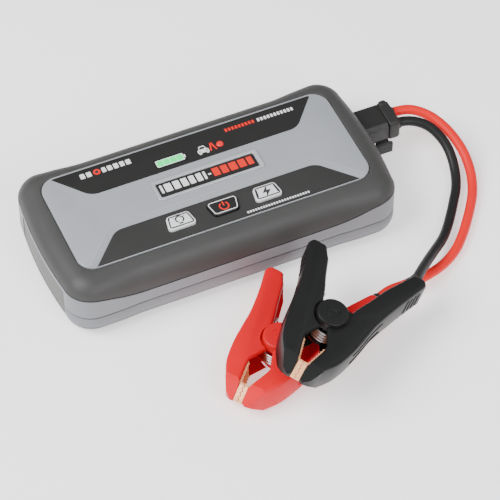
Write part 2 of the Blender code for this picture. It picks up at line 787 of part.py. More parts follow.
# ---------------------------------------------------------------- clamps
def clamp_matrix(colour):
    """From a clamp's own u, v, w to the room: w up, v turned from +X, leaned and pitched."""
    place = CLAMPS[colour]
    turn = Matrix.Rotation(math.radians(place["turn"] - 90), 4, "Z")
    lean = Matrix.Rotation(math.radians(place["lean"]), 4, "Y")
    pitch = Matrix.Rotation(math.radians(place["pitch"]), 4, "X")
    return Matrix.Translation(place["at"]) @ turn @ lean @ pitch


def half_outline(end_v):
    """Plan of one cover half on the +u side, anticlockwise."""
    outer = [p for p in OUTER_EDGE if p[1] < end_v - 6.0]
    slope = (OUTER_EDGE[-1][0] - OUTER_EDGE[-2][0]) / (OUTER_EDGE[-1][1] - OUTER_EDGE[-2][1])
    end_u = OUTER_EDGE[-1][0] + slope * (end_v - OUTER_EDGE[-1][1])
    inner_u = INNER_EDGE[0][0] + (end_v - INNER_EDGE[0][1]) * 0.4
    end = [(end_u - 0.8, end_v - 4.0), (end_u - 1.6, end_v - 1.4), (end_u - 3.8, end_v)]
    end += [(inner_u + 2.4, end_v - 0.2), (inner_u + 0.3, end_v - 2.2)]
    return outer + end + list(INNER_EDGE)


def pocket_outline(end_v):
    """Hollow of the half: inside the outer wall, running out past the inner edge."""
    outline = half_outline(end_v)
    wall = inset(outline, SKIN)
    kept = len(outline) - len(INNER_EDGE) - 1
    outer = list(NOSE_SOCKET) + [p for p in wall[1:kept] if p[1] > -20.0]
    inner = [(u - 9.0, v) for u, v in outline[kept:-1]]
    inner[0] = (inner[0][0], outer[-1][1])
    return outer + inner + [(-6.0, -42.0)]


def mirrored(outline, side):
    """Outline for the +u or -u side, kept anticlockwise."""
    if side > 0:
        return outline
    return [(-u, v) for u, v in reversed(outline)]


def cover_rings(outline):
    edge = 1.2
    rings = [at_z(inset(outline, edge), -HALF_THICK), at_z(outline, -HALF_THICK + edge)]
    return rings + [at_z(outline, HALF_THICK - edge), at_z(inset(outline, edge), HALF_THICK)]


def ear_outline(side):
    """Round ear about the pivot, carried out to the side wall."""
    ear = arc(0, 0, EAR_R, 100, 260, 8)
    return mirrored(ear + [(18.2, -7.0), (18.8, -3.0), (19.6, 4.0), (19.9, 6.0)], side)


def nose_wedges(colour):
    """Cutters that slope the nose from its flat faces down to its tip, above and below."""
    swing = Matrix(((0, 0, 1, 0), (1, 0, 0, 0), (0, 1, 0, 0), (0, 0, 0, 1)))
    wedges = []
    for side in (1, -1):
        outline = [(v, side * w) for v, w in NOSE_WEDGE]
        wedge = prism(f"cut_{colour}_nose_{side + 1}", outline, -30.0, 30.0, None)
        wedges.append(stand_at(wedge, swing))
    return wedges


def build_half(name, side, end_v, made_of, inner_ears):
    half = loft(name, cover_rings(mirrored(half_outline(end_v), side)), made_of)
    if inner_ears:
        clear = turned(f"cut_{name}_clear", [(EAR_CLEAR_R, -12.0), (EAR_CLEAR_R, 12.0)], None, 20)
        cut(half, clear)
        pocket = prism(f"cut_{name}_pocket", mirrored(pocket_outline(end_v), side), -POCKET_W, POCKET_W, None)
        cut(half, pocket)
        for i, sign in enumerate((1, -1)):
            low, high = sorted((sign * EAR_W[0], sign * EAR_W[1]))
            join(half, prism(f"join_{name}_ear_{i}", ear_outline(side), low, high, None))
    else:
        for i, sign in enumerate((1, -1)):
            low, high = sorted((sign * POCKET_W, sign * HALF_THICK))
            join(half, prism(f"join_{name}_ear_{i}", ear_outline(side), low, high, None))
        pocket = prism(f"cut_{name}_pocket", mirrored(pocket_outline(end_v), side), -POCKET_W, POCKET_W, None)
        cut(half, pocket)
    bore = turned(f"cut_{name}_bore", [(PIN_R + 0.3, -12.0), (PIN_R + 0.3, 12.0)], None, 14)
    cut(half, bore)
    return half


def jaw_outline():
    """Toothed plate: straight back inside the cover, teeth toward the other jaw."""
    v0, v1 = TOOTH_V
    teeth = []
    pitch = (v1 - v0) / TOOTH_COUNT
    for i in range(TOOTH_COUNT):
        v = v1 - i * pitch
        base_u = tooth_base(v - pitch / 2)
        teeth.append((base_u + TOOTH_HEIGHT, v))
        teeth.append((base_u, v - pitch / 2))
    return list(JAW_BACK) + teeth + [(tooth_base(v0) + TOOTH_HEIGHT, v0)]


def tooth_base(v):
    """How far from the middle the tooth tips stand at this v."""
    start, slope = JAW_GAPE
    return 0.25 if v < JAW_PARTING_V else start + slope * (v - JAW_PARTING_V)


def build_jaw(name, side, made_of):
    jaw = prism(name, mirrored(jaw_outline(), side), -JAW_W, JAW_W, made_of)
    hollow = mirrored(list(JAW_HOLLOW), side)
    return cut(jaw, prism(f"cut_{name}", hollow, -JAW_W + 1.0, JAW_W - 1.0, None))


def spring_points():
    """Coil about the pivot with a leg running into each handle."""
    points = [(15.0, 21.0, -SPRING_W)]
    steps = 40
    for i in range(steps + 1):
        angle = SPRING_START - (360 * SPRING_TURNS + SPRING_LAST) * i / steps
        u = SPRING_R * math.cos(math.radians(angle))
        v = SPRING_R * math.sin(math.radians(angle))
        points.append((u, v, SPRING_W * (2 * i / steps - 1)))
    points.append((-9.0, 13.0, SPRING_W))
    return points


def build_clamp(colour, cover_material, metals):
    frame = bpy.data.objects.new(f"{colour}_clamp_place", None)
    bpy.context.scene.collection.objects.link(frame)
    matrix = clamp_matrix(colour)
    matrix.translation = matrix.translation * MM
    frame.matrix_world = matrix
    before = set(bpy.data.objects)
    cable_half = build_half(f"{colour}_cable_handle", 1, CABLE_HANDLE_END, cover_material, False)
    entry = turned(f"cut_{colour}_entry", [(CABLE_R + 1.0, -7.0), (CABLE_R + 1.0, 7.0)], None, 14)
    entry.data.transform(Matrix.Rotation(math.radians(-90), 4, "X"))
    entry.data.transform(Matrix.Translation(Vector((CABLE_ENTRY_U, CABLE_HANDLE_END, 0)) * MM))
    cut(cable_half, entry)
    noses = [cable_half]
    noses.append(build_half(f"{colour}_free_handle", -1, FREE_HANDLE_END, cover_material, True))
    noses.append(build_jaw(f"{colour}_cable_jaw", 1, metals["copper"]))
    noses.append(build_jaw(f"{colour}_free_jaw", -1, metals["copper"]))
    wedges = nose_wedges(colour)
    for nose in noses:
        cut(nose, *wedges)
    pin = [(PIN_HEAD_R - 0.3, -9.1), (PIN_HEAD_R, -8.35), (PIN_R, -8.3), (PIN_R, 8.2)]
    turned(f"{colour}_pivot_pin", pin, metals["steel"], 16)
    cap = [(CAP_R, CAP_W[0]), (CAP_R, CAP_W[1] - 0.7), (CAP_R - 0.8, CAP_W[1])]
    turned(f"{colour}_pivot_cap", cap, cover_material, 24)
    tube(f"{colour}_spring", spring_points(), SPRING_WIRE_R, metals["steel"], 1)
    lug = [(13.4, -9.0), (14.4, -9.0), (15.6, 4.0), (18.6, 17.0), (22.8, 32.0), (21.7, 32.4)]
    lug += [(17.5, 17.4), (14.5, 4.2)]
    prism(f"{colour}_cable_lug", lug, -2.2, 2.2, metals["copper"])
    for obj in set(bpy.data.objects) - before:
        obj.parent = frame


def lead_end(colour):
    """Room positions for the last stretch of a cable, into its clamp handle."""
    matrix = clamp_matrix(colour)
    spots = [(CABLE_ENTRY_U, 50.5, 0.0), (24.9, 44.0, 0.0), (23.6, 37.5, 0.0)]
    return [tuple(matrix @ Vector(p)) for p in spots]


def main():
    clear_scene()
    charcoal = material("charcoal_satin", (0.055, 0.054, 0.052), 0.35)
    grey = material("grey_abs", (0.30, 0.31, 0.34), 0.45)
    rubber = material("black_rubber", (0.02, 0.02, 0.02), 0.8)
    silver = material("silver_lacquer", (0.42, 0.44, 0.47), 0.35, 0.3)
    gloss = material("black_gloss", (0.012, 0.012, 0.012), 0.12)
    light = material("light_grey_keys", (0.72, 0.73, 0.75), 0.4)
    glow = material("green_lens", (0.05, 0.6, 0.25), 0.25)
    led = material("red_lens", (0.75, 0.06, 0.04), 0.25)
    board = material("green_board", (0.02, 0.16, 0.07), 0.6)
    foil = material("cell_foil", (0.55, 0.56, 0.58), 0.3, 0.8)
    steel = material("steel", (0.6, 0.6, 0.62), 0.3, 1.0)
    brass = material("brass", (0.72, 0.52, 0.22), 0.3, 1.0)
    copper = material("copper", (0.85, 0.50, 0.30), 0.3, 1.0)
    clear = material("clear_lens", (0.85, 0.87, 0.9), 0.08)
    black = material("black_plastic", (0.022, 0.023, 0.024), 0.4)
    red = material("red_plastic", (0.72, 0.03, 0.025), 0.3)
    build_base_pad(rubber)
    build_lower_shell(grey)
    build_upper_shell(grey)
    build_bezel(charcoal)
    build_panel(silver)
    build_inlays(gloss)
    build_label(gloss, silver)
    build_lights(glow, led)
    build_keys({"light_key": light, "power_key": gloss, "start_key": light})
    build_inside(board, foil, black)
    build_screws(steel)
    build_socket(black, brass)
    build_socket_cover(rubber)
    build_port_flap(rubber)
    build_ports(black, steel)
    build_torch(clear, steel)
    build_plug(black, brass)
    metals = {"steel": steel, "copper": copper}
    build_clamp("black", black, metals)
    build_clamp("red", red, metals)
    for colour, route, made_of in (("red", RED_ROUTE, red), ("black", BLACK_ROUTE, black)):
        points = smooth_route(list(route) + lead_end(colour), CABLE_STEP)
        tube(f"{colour}_cable", points, CABLE_R, made_of)


main()
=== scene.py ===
"""Jump starter pack with clamp leads, lying on a pale studio floor."""
import math

import bmesh
import bpy
from mathutils import Matrix, Vector


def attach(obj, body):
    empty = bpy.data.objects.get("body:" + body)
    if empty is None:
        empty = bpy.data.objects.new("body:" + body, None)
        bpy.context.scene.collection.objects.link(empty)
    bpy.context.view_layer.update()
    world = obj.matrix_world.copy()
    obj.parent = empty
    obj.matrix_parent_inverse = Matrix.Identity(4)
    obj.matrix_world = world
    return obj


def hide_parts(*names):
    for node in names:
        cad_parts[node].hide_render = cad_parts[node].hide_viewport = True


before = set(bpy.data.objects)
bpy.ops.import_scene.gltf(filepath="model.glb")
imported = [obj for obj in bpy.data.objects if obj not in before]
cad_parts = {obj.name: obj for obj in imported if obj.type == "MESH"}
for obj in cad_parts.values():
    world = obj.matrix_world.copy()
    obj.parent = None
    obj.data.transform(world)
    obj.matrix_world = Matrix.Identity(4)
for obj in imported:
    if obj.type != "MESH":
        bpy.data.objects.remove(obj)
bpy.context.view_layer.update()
MM = 0.001

# ------------ camera and room
# Camera and lamps are placed in metres; shapes are drawn in millimetres.
AZ, EL = math.radians(-24.07), math.radians(49.96)
BACK = Vector((math.sin(AZ) * math.cos(EL), -math.cos(AZ) * math.cos(EL), math.sin(EL)))
TARGET = Vector((0.01344, -0.02338, 0.0))
CAMERA_DISTANCE = 1.318
CAMERA_LENS = 187.3
SKY_AT_HORIZON, SKY_OVERHEAD, SKY_FULL_AT = 0.06, 0.58, 0.8
# name, place, size, power
LAMPS = (
    ("key", (-0.80, 0.05, 1.00), 0.80, 25.0),
    ("front", (0.20, -1.10, 0.80), 0.60, 11.0),
    ("side", (1.15, -0.10, 0.90), 0.60, 1.5),
)
FLOOR_HALF = 4000.0


def build_room():
    build_camera()
    build_sky()
    for name, place, size, power in LAMPS:
        lamp = bpy.data.lights.new(name, "AREA")
        lamp.shape = "SQUARE"
        lamp.size = size
        lamp.energy = power
        obj = bpy.data.objects.new(name, lamp)
        bpy.context.scene.collection.objects.link(obj)
        obj.location = place
        obj.rotation_euler = Vector(place).to_track_quat("Z", "Y").to_euler()


def build_camera():
    lens = bpy.data.cameras.new("camera")
    lens.lens = CAMERA_LENS
    lens.sensor_width = 36
    lens.clip_start = 0.05
    camera = bpy.data.objects.new("camera", lens)
    bpy.context.scene.collection.objects.link(camera)
    camera.location = TARGET + BACK * CAMERA_DISTANCE
    camera.rotation_euler = BACK.to_track_quat("Z", "Y").to_euler()
    bpy.context.scene.camera = camera


def build_sky():
    """Even white light from above that fades towards the horizon."""
    world = bpy.data.worlds.new("studio")
    bpy.context.scene.world = world
    world.use_nodes = True
    tree = world.node_tree
    sky = tree.nodes["Background"]
    sky.inputs[0].default_value = (1.0, 1.0, 1.0, 1)
    heading = tree.nodes.new("ShaderNodeTexCoord")
    split = tree.nodes.new("ShaderNodeSeparateXYZ")
    climb = tree.nodes.new("ShaderNodeMapRange")
    climb.inputs["From Max"].default_value = SKY_FULL_AT
    climb.inputs["To Min"].default_value = SKY_AT_HORIZON
    climb.inputs["To Max"].default_value = SKY_OVERHEAD
    tree.links.new(heading.outputs["Generated"], split.inputs[0])
    tree.links.new(split.outputs["Z"], climb.inputs["Value"])
    tree.links.new(climb.outputs["Result"], sky.inputs["Strength"])


# ------------ materials
PATCH_SCALE = 70.0
FLAKE_RANGE = (0.45, 0.75)
# pointiness band of the lightened edges, partly wear and partly painted highlight
EDGE_RANGE = (0.52, 0.64)
# painted shade at the shell's foot: heights in metres where it fades in, and its strength
FOOT_RANGE = (0.0080, 0.0060)
FOOT_SHADE = 0.6
ROUGH_DRIFT = 0.07


def surface(name, colour, rough, metal=0.0, mottle=0.05, grain=900.0, bump=0.06, wear_and_highlight=0.0,
            coat=0.0, speckle=0.0, streak=0.0, glow=0.0, shine=0.35, foot=False):
    """Finish with procedural colour and roughness drift, grain, edges lightened as wear and painted
    highlight, and painted shade darkening the foot.
    """
    made = bpy.data.materials.new(name)
    made.use_nodes = True
    tree = made.node_tree
    shader = tree.nodes["Principled BSDF"]
    shader.inputs["Metallic"].default_value = metal
    shader.inputs["Coat Weight"].default_value = coat
    shader.inputs["Specular IOR Level"].default_value = shine
    shader.inputs["Coat Roughness"].default_value = 0.08

    def node(kind, **values):
        new = tree.nodes.new(kind)
        for key, value in values.items():
            new.inputs[key.replace("_", " ")].default_value = value
        return new

    def link(a, out, b, into):
        tree.links.new(a.outputs[out], b.inputs[into])

    def ramp(low, high, top):
        return node("ShaderNodeMapRange", From_Min=low, From_Max=high, To_Max=top)

    place = node("ShaderNodeTexCoord")
    stretch = node("ShaderNodeMapping")
    stretch.inputs["Scale"].default_value = (1.0, 1.0 + 14.0 * streak, 1.0)
    link(place, "Object", stretch, "Vector")
    broad = node("ShaderNodeTexNoise", Scale=PATCH_SCALE, Detail=3.0)
    fine = node("ShaderNodeTexNoise", Scale=grain * 4, Detail=2.0)
    link(place, "Object", broad, "Vector")
    link(stretch, "Vector", fine, "Vector")
    low = tuple(c * (1 - mottle) for c in colour) + (1.0,)
    high = tuple(min(1.0, c * (1 + mottle) + 0.002) for c in colour) + (1.0,)
    mix = node("ShaderNodeMix")
    mix.data_type = "RGBA"
    mix.inputs[6].default_value = low
    mix.inputs[7].default_value = high
    link(broad, "Fac", mix, 0)
    last = mix
    if speckle:
        flake = node("ShaderNodeTexNoise", Scale=grain * 9, Detail=0.0)
        link(place, "Object", flake, "Vector")
        flakes = ramp(*FLAKE_RANGE, speckle)
        link(flake, "Fac", flakes, "Value")
        last = mixed(tree, last, flakes, tuple(min(1.0, c * 1.7) for c in colour))
    # edges lightened as wear and as painted highlight on the bevels
    if wear_and_highlight:
        shape = node("ShaderNodeNewGeometry")
        edge = ramp(*EDGE_RANGE, wear_and_highlight)
        link(shape, "Pointiness", edge, "Value")
        last = mixed(tree, last, edge, tuple(min(1.0, c * 1.8 + 0.04) for c in colour))
    # painted shade: the lowest few millimetres darken, standing in for shadow under the curved lower
    # edge
    if foot:
        height = node("ShaderNodeSeparateXYZ")
        link(place, "Object", height, "Vector")
        foot_shade_mask = ramp(*FOOT_RANGE, FOOT_SHADE)
        link(height, "Z", foot_shade_mask, "Value")
        last = mixed(tree, last, foot_shade_mask, tuple(c * 0.12 for c in colour))
    tree.links.new(last.outputs[2], shader.inputs["Base Color"])
    drift = node("ShaderNodeMapRange", To_Min=rough - ROUGH_DRIFT, To_Max=rough + ROUGH_DRIFT)
    link(broad, "Fac", drift, "Value")
    link(drift, "Result", shader, "Roughness")
    relief = node("ShaderNodeBump", Strength=bump, Distance=0.0002)
    link(fine, "Fac", relief, "Height")
    link(relief, "Normal", shader, "Normal")
    # emission: the lit gauge and status lamp really shine; on red plastic, red ink, red jacket and
    # copper it is painted light; the floor glows evenly
    if glow:
        shader.inputs["Emission Color"].default_value = (*colour, 1)
        shader.inputs["Emission Strength"].default_value = glow
    return made


def mixed(tree, under, factor, colour):
    """Lay a colour over the one so far, as strongly as the factor says."""
    mix = tree.nodes.new("ShaderNodeMix")
    mix.data_type = "RGBA"
    mix.inputs[7].default_value = (*colour, 1.0)
    tree.links.new(factor.outputs["Result"], mix.inputs[0])
    tree.links.new(under.outputs[2], mix.inputs[6])
    return mix


def all_materials():
    made = {}

    def add(key, *looks, name=None, **more):
        made[key] = surface(name or key, *looks, **more)

    add("charcoal", (0.047, 0.0466, 0.0461), 0.52, mottle=0.04, bump=0.05, wear_and_highlight=0.06)
    # the grey shell carries painted shade along its foot
    add("grey", (0.198, 0.203, 0.221), 0.45, mottle=0.03, bump=0.10, wear_and_highlight=0.12, foot=True)
    add("silver", (0.32, 0.335, 0.36), 0.36, 0.15, 0.03, bump=0.03, speckle=0.2)
    # light silver of the label frame, lightened partly as painted highlight; it also colours the
    # painted glint strip
    add("trim_and_highlight", (0.46, 0.475, 0.50), 0.30, 0.3, 0.03, bump=0.02)
    # lighter copy of gloss: the near inlay's lighter tone is a painted reflection
    add("gloss_painted_reflection", (0.030, 0.0295, 0.029), 0.26, mottle=0.06, bump=0.01, coat=0.15)
    add("gloss", (0.013, 0.0128, 0.0125), 0.22, mottle=0.06, bump=0.01, coat=0.2)
    add("rubber", (0.026, 0.026, 0.027), 0.6, mottle=0.12, bump=0.25, wear_and_highlight=0.10)
    add("flap", (0.105, 0.10, 0.097), 0.5, mottle=0.10, bump=0.25, wear_and_highlight=0.12)
    add("pad", (0.012, 0.012, 0.012), 0.75, mottle=0.15, bump=0.35, shine=0.2)
    add("light_grey", (0.74, 0.75, 0.77), 0.40, mottle=0.02, bump=0.05)
    add("green", (0.0, 0.78, 0.17), 0.3, mottle=0.10, bump=0.01, glow=0.62, shine=0.1,
        name="green_lens")
    add("green_dim", (0.12, 0.80, 0.34), 0.3, mottle=0.1, bump=0.01, glow=0.9, shine=0.1)
    add("red_lens", (0.70, 0.02, 0.015), 0.25, mottle=0.08, bump=0.01, coat=0.4, glow=0.25)
    add("ink_white", (0.78, 0.79, 0.80), 0.5, mottle=0.03, bump=0.02)
    # red ink: its glow is painted light, since print is no lamp
    add("ink_red", (0.72, 0.022, 0.014), 0.5, mottle=0.05, bump=0.02, glow=0.10, shine=0.1)
    add("ink_dark", (0.03, 0.03, 0.034), 0.5, mottle=0.05, bump=0.02)
    add("black", (0.0095, 0.0098, 0.0100), 0.33, mottle=0.08, bump=0.08, wear_and_highlight=0.05, shine=0.22)
    add("dark", (0.018, 0.0176, 0.0172), 0.45, mottle=0.08, bump=0.12, wear_and_highlight=0.05,
        name="dark_plastic")
    # red clamp plastic: its glow is painted light
    add("red", (0.66, 0.0015, 0.010), 0.34, mottle=0.05, bump=0.03, wear_and_highlight=0.03, glow=0.05,
        shine=0.14)
    # copper: its glow is painted light
    add("copper", (1.0, 0.47, 0.24), 0.36, 0.25, 0.12, bump=0.08, wear_and_highlight=0.1, glow=0.08, shine=0.3)
    add("steel", (0.58, 0.58, 0.60), 0.28, 1.0, 0.06, bump=0.06, streak=1.0)
    add("brass", (0.70, 0.50, 0.20), 0.28, 1.0, 0.06, bump=0.05)
    # red lead jacket: its glow is painted light
    add("red_jacket", (0.76, 0.012, 0.012), 0.40, mottle=0.05, bump=0.06, glow=0.08, shine=0.16)
    add("black_jacket", (0.012, 0.0123, 0.0128), 0.42, mottle=0.08, bump=0.06, shine=0.22)
    add("lens", (0.46, 0.49, 0.53), 0.10, 0.2, 0.03, bump=0.01, coat=0.8)
    add("board", (0.02, 0.16, 0.07), 0.45, mottle=0.15, bump=0.05)
    add("foil", (0.55, 0.56, 0.58), 0.32, 0.8, 0.08, bump=0.10)
    add("floor", (0.92, 0.92, 0.92), 0.6, mottle=0.01, grain=300.0, bump=0.02, glow=0.80, shine=0.1)
    return made


# ------------ solids
SHARP = 35.0
FLAT_FROM = 9


def solid(name, points, faces, made_of, sharp=SHARP):
    mesh = bpy.data.meshes.new(name)
    mesh.from_pydata([Vector(p) * MM for p in points], [], faces)
    shape = bmesh.new()
    shape.from_mesh(mesh)
    bmesh.ops.recalc_face_normals(shape, faces=shape.faces)
    shape.to_mesh(mesh)
    shape.free()
    smooth(mesh, sharp)
    obj = bpy.data.objects.new(name, mesh)
    bpy.context.scene.collection.objects.link(obj)
    if made_of:
        mesh.materials.append(made_of)
    return obj


def smooth(mesh, sharp=SHARP):
    """Soft shading between shallow angles; large many-sided end faces stay flat."""
    soft = [len(face.vertices) < FLAT_FROM for face in mesh.polygons]
    mesh.polygons.foreach_set("use_smooth", soft)
    mesh.set_sharp_from_angle(angle=math.radians(sharp))


def loft(name, rings, made_of, looped=False, sharp=SHARP):
    """Skin over rings of equal count, closed by end faces or back onto the first ring."""
    count = len(rings[0])
    points = [p for ring in rings for p in ring]
    faces = []
    steps = len(rings) if looped else len(rings) - 1
    for low in range(steps):
        high = (low + 1) % len(rings)
        for i in range(count):
            j = (i + 1) % count
            faces.append((low * count + i, low * count + j, high * count + j, high * count + i))
    if not looped:
        faces.append(tuple(reversed(range(count))))
        faces.append(tuple(range((len(rings) - 1) * count, len(rings) * count)))
    return solid(name, points, faces, made_of, sharp)


def at_z(outline, z):
    return [(x, y, z) for x, y in outline]


def stack(outline, *steps):
    """Rings of one outline, each inset by an amount and set at a height."""
    return [at_z(inset(outline, amount), z) for amount, z in steps]


def prism(name, outline, z0, z1, made_of, edge=0.0, rounds=3):
    """Straight extrusion with its top edge rounded by edge."""
    rings = [at_z(outline, z0), at_z(outline, z1 - edge)]
    for i in range(1, rounds + 1 if edge else 0):
        angle = math.pi / 2 * i / rounds
        height = z1 - edge + edge * math.sin(angle)
        rings.append(at_z(inset(outline, edge * (1 - math.cos(angle))), height))
    if not edge:
        rings = [at_z(outline, z0), at_z(outline, z1)]
    return loft(name, rings, made_of)


def block(name, x0, x1, y0, y1, z0, z1, made_of, bevel=0.0):
    made = prism(name, rectangle(x0, x1, y0, y1), z0, z1, made_of)
    return bevelled(made, bevel) if bevel else made


def circle(radius, count, x=0.0, y=0.0):
    angles = [2 * math.pi * i / count for i in range(count)]
    return [(x + radius * math.cos(a), y + radius * math.sin(a)) for a in angles]


def turned(name, profile, made_of, count=40, looped=False, sharp=SHARP):
    """Round solid about Z from (radius, height) pairs."""
    return loft(name, [at_z(circle(r, count), z) for r, z in profile], made_of, looped, sharp)


def stand_at(obj, matrix):
    shift = matrix.copy()
    shift.translation = shift.translation * MM
    obj.data.transform(shift)
    return obj


def along_x(x, y, z):
    return Matrix.Translation((x, y, z)) @ Matrix.Rotation(math.radians(90), 4, "Y")


def combine(obj, cutters=(), unions=(), sharp=SHARP):
    """Cut and join, keep the result as the object's own mesh, and drop the helpers."""
    for other, operation in [(o, "UNION") for o in unions] + [(o, "DIFFERENCE") for o in cutters]:
        step = obj.modifiers.new(operation, "BOOLEAN")
        step.operation = operation
        step.solver = "EXACT"
        step.object = other
    keep_result(obj, sharp)
    for other in list(cutters) + list(unions):
        bpy.data.objects.remove(other)
    return obj


def keep_result(obj, sharp=SHARP):
    bpy.context.view_layer.update()
    graph = bpy.context.evaluated_depsgraph_get()
    mesh = bpy.data.meshes.new_from_object(obj.evaluated_get(graph))
    obj.modifiers.clear()
    obj.data = mesh
    shape = bmesh.new()
    shape.from_mesh(mesh)
    flat = math.radians(1.0)
    bmesh.ops.dissolve_limit(shape, angle_limit=flat, verts=shape.verts, edges=shape.edges)
    shape.to_mesh(mesh)
    shape.free()
    smooth(mesh, sharp)


def bevelled(obj, width, segments=2, angle=38.0):
    step = obj.modifiers.new("edge", "BEVEL")
    step.width = width * MM
    step.segments = segments
    step.limit_method = "ANGLE"
    step.angle_limit = math.radians(angle)
    step.harden_normals = True
    step.use_clamp_overlap = True
    return obj


# ------------ outlines
HALF_LENGTH, END_BOW = 91.0, 2.0
CORNER_X, CORNER_Y, CORNER_R = 75.0, 30.0, 14.0
WAIST_Y, WAIST_X, FLARE, FLARE_RUN = 43.4, 52.0, 0.6, 14.0
PANEL_X, PANEL_Y, PANEL_R, PANEL_FAR = 78.6, 31.0, 9.0, 1.05
STRAIGHT_X = (39.0, 26.0, 13.0, 0.0)
RIM_Z, RIM_RISE, RIM_FROM, RIM_RUN = 21.5, 5.5, 50.0, 32.0


def arc(x, y, radius, start, stop, steps):
    angles = [math.radians(start + (stop - start) * i / steps) for i in range(steps + 1)]
    return [(x + radius * math.cos(a), y + radius * math.sin(a)) for a in angles]


def four_quarters(quarter):
    second = [(-x, y) for x, y in reversed(quarter) if x > 0]
    half = quarter + second
    return half + [(x, -y) for x, y in reversed(half) if y > 0]


def ease(t):
    t = min(max(t, 0.0), 1.0)
    return t * t * (3 - 2 * t)


def case_quarter():
    points = [(end_x(y), y) for y in (0.0, 5.0, 10.0, 15.0, 20.0, 25.0)]
    points += arc(CORNER_X, CORNER_Y, CORNER_R, 0, 90, 16)
    for step in range(13):
        t = 1 - step / 12
        points.append((WAIST_X + FLARE_RUN * t, WAIST_Y + FLARE * ease(t)))
    return points + [(x, WAIST_Y) for x in STRAIGHT_X]


def end_x(y):
    """How far the slightly bowed end reaches at this width."""
    return HALF_LENGTH - END_BOW * (y / CORNER_Y) ** 2


def panel_quarter(grow=0.0):
    x, y, radius = PANEL_X + grow, PANEL_Y + grow, PANEL_R + grow
    points = [(x, step * 3.6) for step in range(6)]
    points += arc(x - radius, y - radius, radius, 0, 90, 16)
    points += [(WAIST_X + FLARE_RUN - FLARE_RUN * step / 12, y) for step in range(13)]
    return points + [(x, y) for x in STRAIGHT_X]


def panel_outline(grow=0.0):
    return [(x, y * PANEL_FAR if y > 0 else y) for x, y in four_quarters(panel_quarter(grow))]


def inset(outline, amount):
    """Outline moved inwards by amount, or outwards where it is negative."""
    if not amount:
        return list(outline)
    moved = []
    for i, (x, y) in enumerate(outline):
        x0, y0 = outline[i - 1]
        x1, y1 = outline[(i + 1) % len(outline)]
        a = Vector((x - x0, y - y0)).normalized()
        b = Vector((x1 - x, y1 - y)).normalized()
        normal = Vector((-(a.y + b.y), a.x + b.x))
        if normal.length < 1e-6:
            normal = Vector((-a.y, a.x))
        normal.normalize()
        reach = amount / max(0.5, normal.dot(Vector((-a.y, a.x))))
        moved.append((x + normal.x * reach, y + normal.y * reach))
    return moved


def blend(first, second, share):
    pairs = zip(first, second)
    return [(p[0] + (q[0] - p[0]) * share, p[1] + (q[1] - p[1]) * share) for p, q in pairs]


def rim_height(x):
    return RIM_Z + RIM_RISE * ease((abs(x) - RIM_FROM) / RIM_RUN)


def at_rim(outline, above, towards=None, share=0.0):
    """Ring at the height of the shell's rim, or part of the way from there to a height."""
    ring = []
    for x, y in outline:
        low = rim_height(x) + above
        ring.append((x, y, low if towards is None else low + (towards - low) * share))
    return ring


def rounded(outline, radii, steps=6):
    """Outline with every corner replaced by an arc."""
    points = []
    for i, corner in enumerate(outline):
        radius = radii[i] if isinstance(radii, tuple) else radii
        here = Vector(corner)
        back = (Vector(outline[i - 1]) - here).normalized()
        ahead = (Vector(outline[(i + 1) % len(outline)]) - here).normalized()
        half_angle = back.angle(ahead) / 2
        start = here + back * (radius / math.tan(half_angle))
        stop = here + ahead * (radius / math.tan(half_angle))
        centre = here + (back + ahead).normalized() * (radius / math.sin(half_angle))
        for step in range(steps + 1):
            mix = (start - centre).lerp(stop - centre, step / steps)
            points.append(tuple(centre + mix.normalized() * radius))
    return points


def rectangle(x0, x1, y0, y1):
    return [(x0, y0), (x1, y0), (x1, y1), (x0, y1)]


def ribbon(points, width):
    """Outline of a line of this width along the points."""
    left, right = [], []
    for i, point in enumerate(points):
        ahead = Vector(points[min(i + 1, len(points) - 1)]) - Vector(points[max(i - 1, 0)])
        normal = Vector((-ahead.y, ahead.x)).normalized() * width / 2
        left.append((point[0] + normal.x, point[1] + normal.y))
        right.append((point[0] - normal.x, point[1] - normal.y))
    return right + left[::-1]


def case_outline(depth=0.0):
    return inset(four_quarters(case_quarter()), depth)


# ------------ case
EDGE_R, FOOT_Z, WALL = 7.5, 1.4, 2.2
SEAM = (13.72, 14.28)
SEAM_CHAMFER = 0.22
FLOOR_INSIDE = (8.3, 3.2)
SCREW_X, SCREW_Y, SCREW_HOLE_R = 78, 33, 3.0
TORCH_Y, TORCH_Z = -24, 16.5
BEZEL_TOP = 35.6
LIP = (30.9, 32.6)
BEZEL_FOOT = 0.22
# how far in from the shell's edge, and the share of the rise reached there
BEZEL_CURVE = (
    (0.3, 0.09), (0.5, 0.17), (0.85, 0.27), (1.3, 0.375), (1.9, 0.48), (2.7, 0.585), (3.6, 0.685),
    (4.6, 0.775), (5.7, 0.85), (6.8, 0.905), (7.8, 0.942), (8.7, 0.968), (9.5, 0.985),
)


def show(obj, body, slot, *nodes):
    """Attach a piece to its body and hide the CAD nodes it stands for; the slot is not used."""
    if nodes:
        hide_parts(*nodes)
    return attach(obj, body)


def end_cutters():
    """Openings of the socket, the flap and the torch through the case ends."""
    socket = bevelled(block("cutter", 66, 94, 4.8, 25.2, 9.0, 25.0, None), 1.0)
    flap = block("cutter", -94, -84, -29.5, 24.5, 7.2, 24.5, None)
    torch = stand_at(turned("cutter", [(6.9, -5), (6.9, 8)], None), along_x(85, TORCH_Y, TORCH_Z))
    return [socket, flap, torch]


def case_ring(depth, z):
    return at_z(case_outline(depth), z)


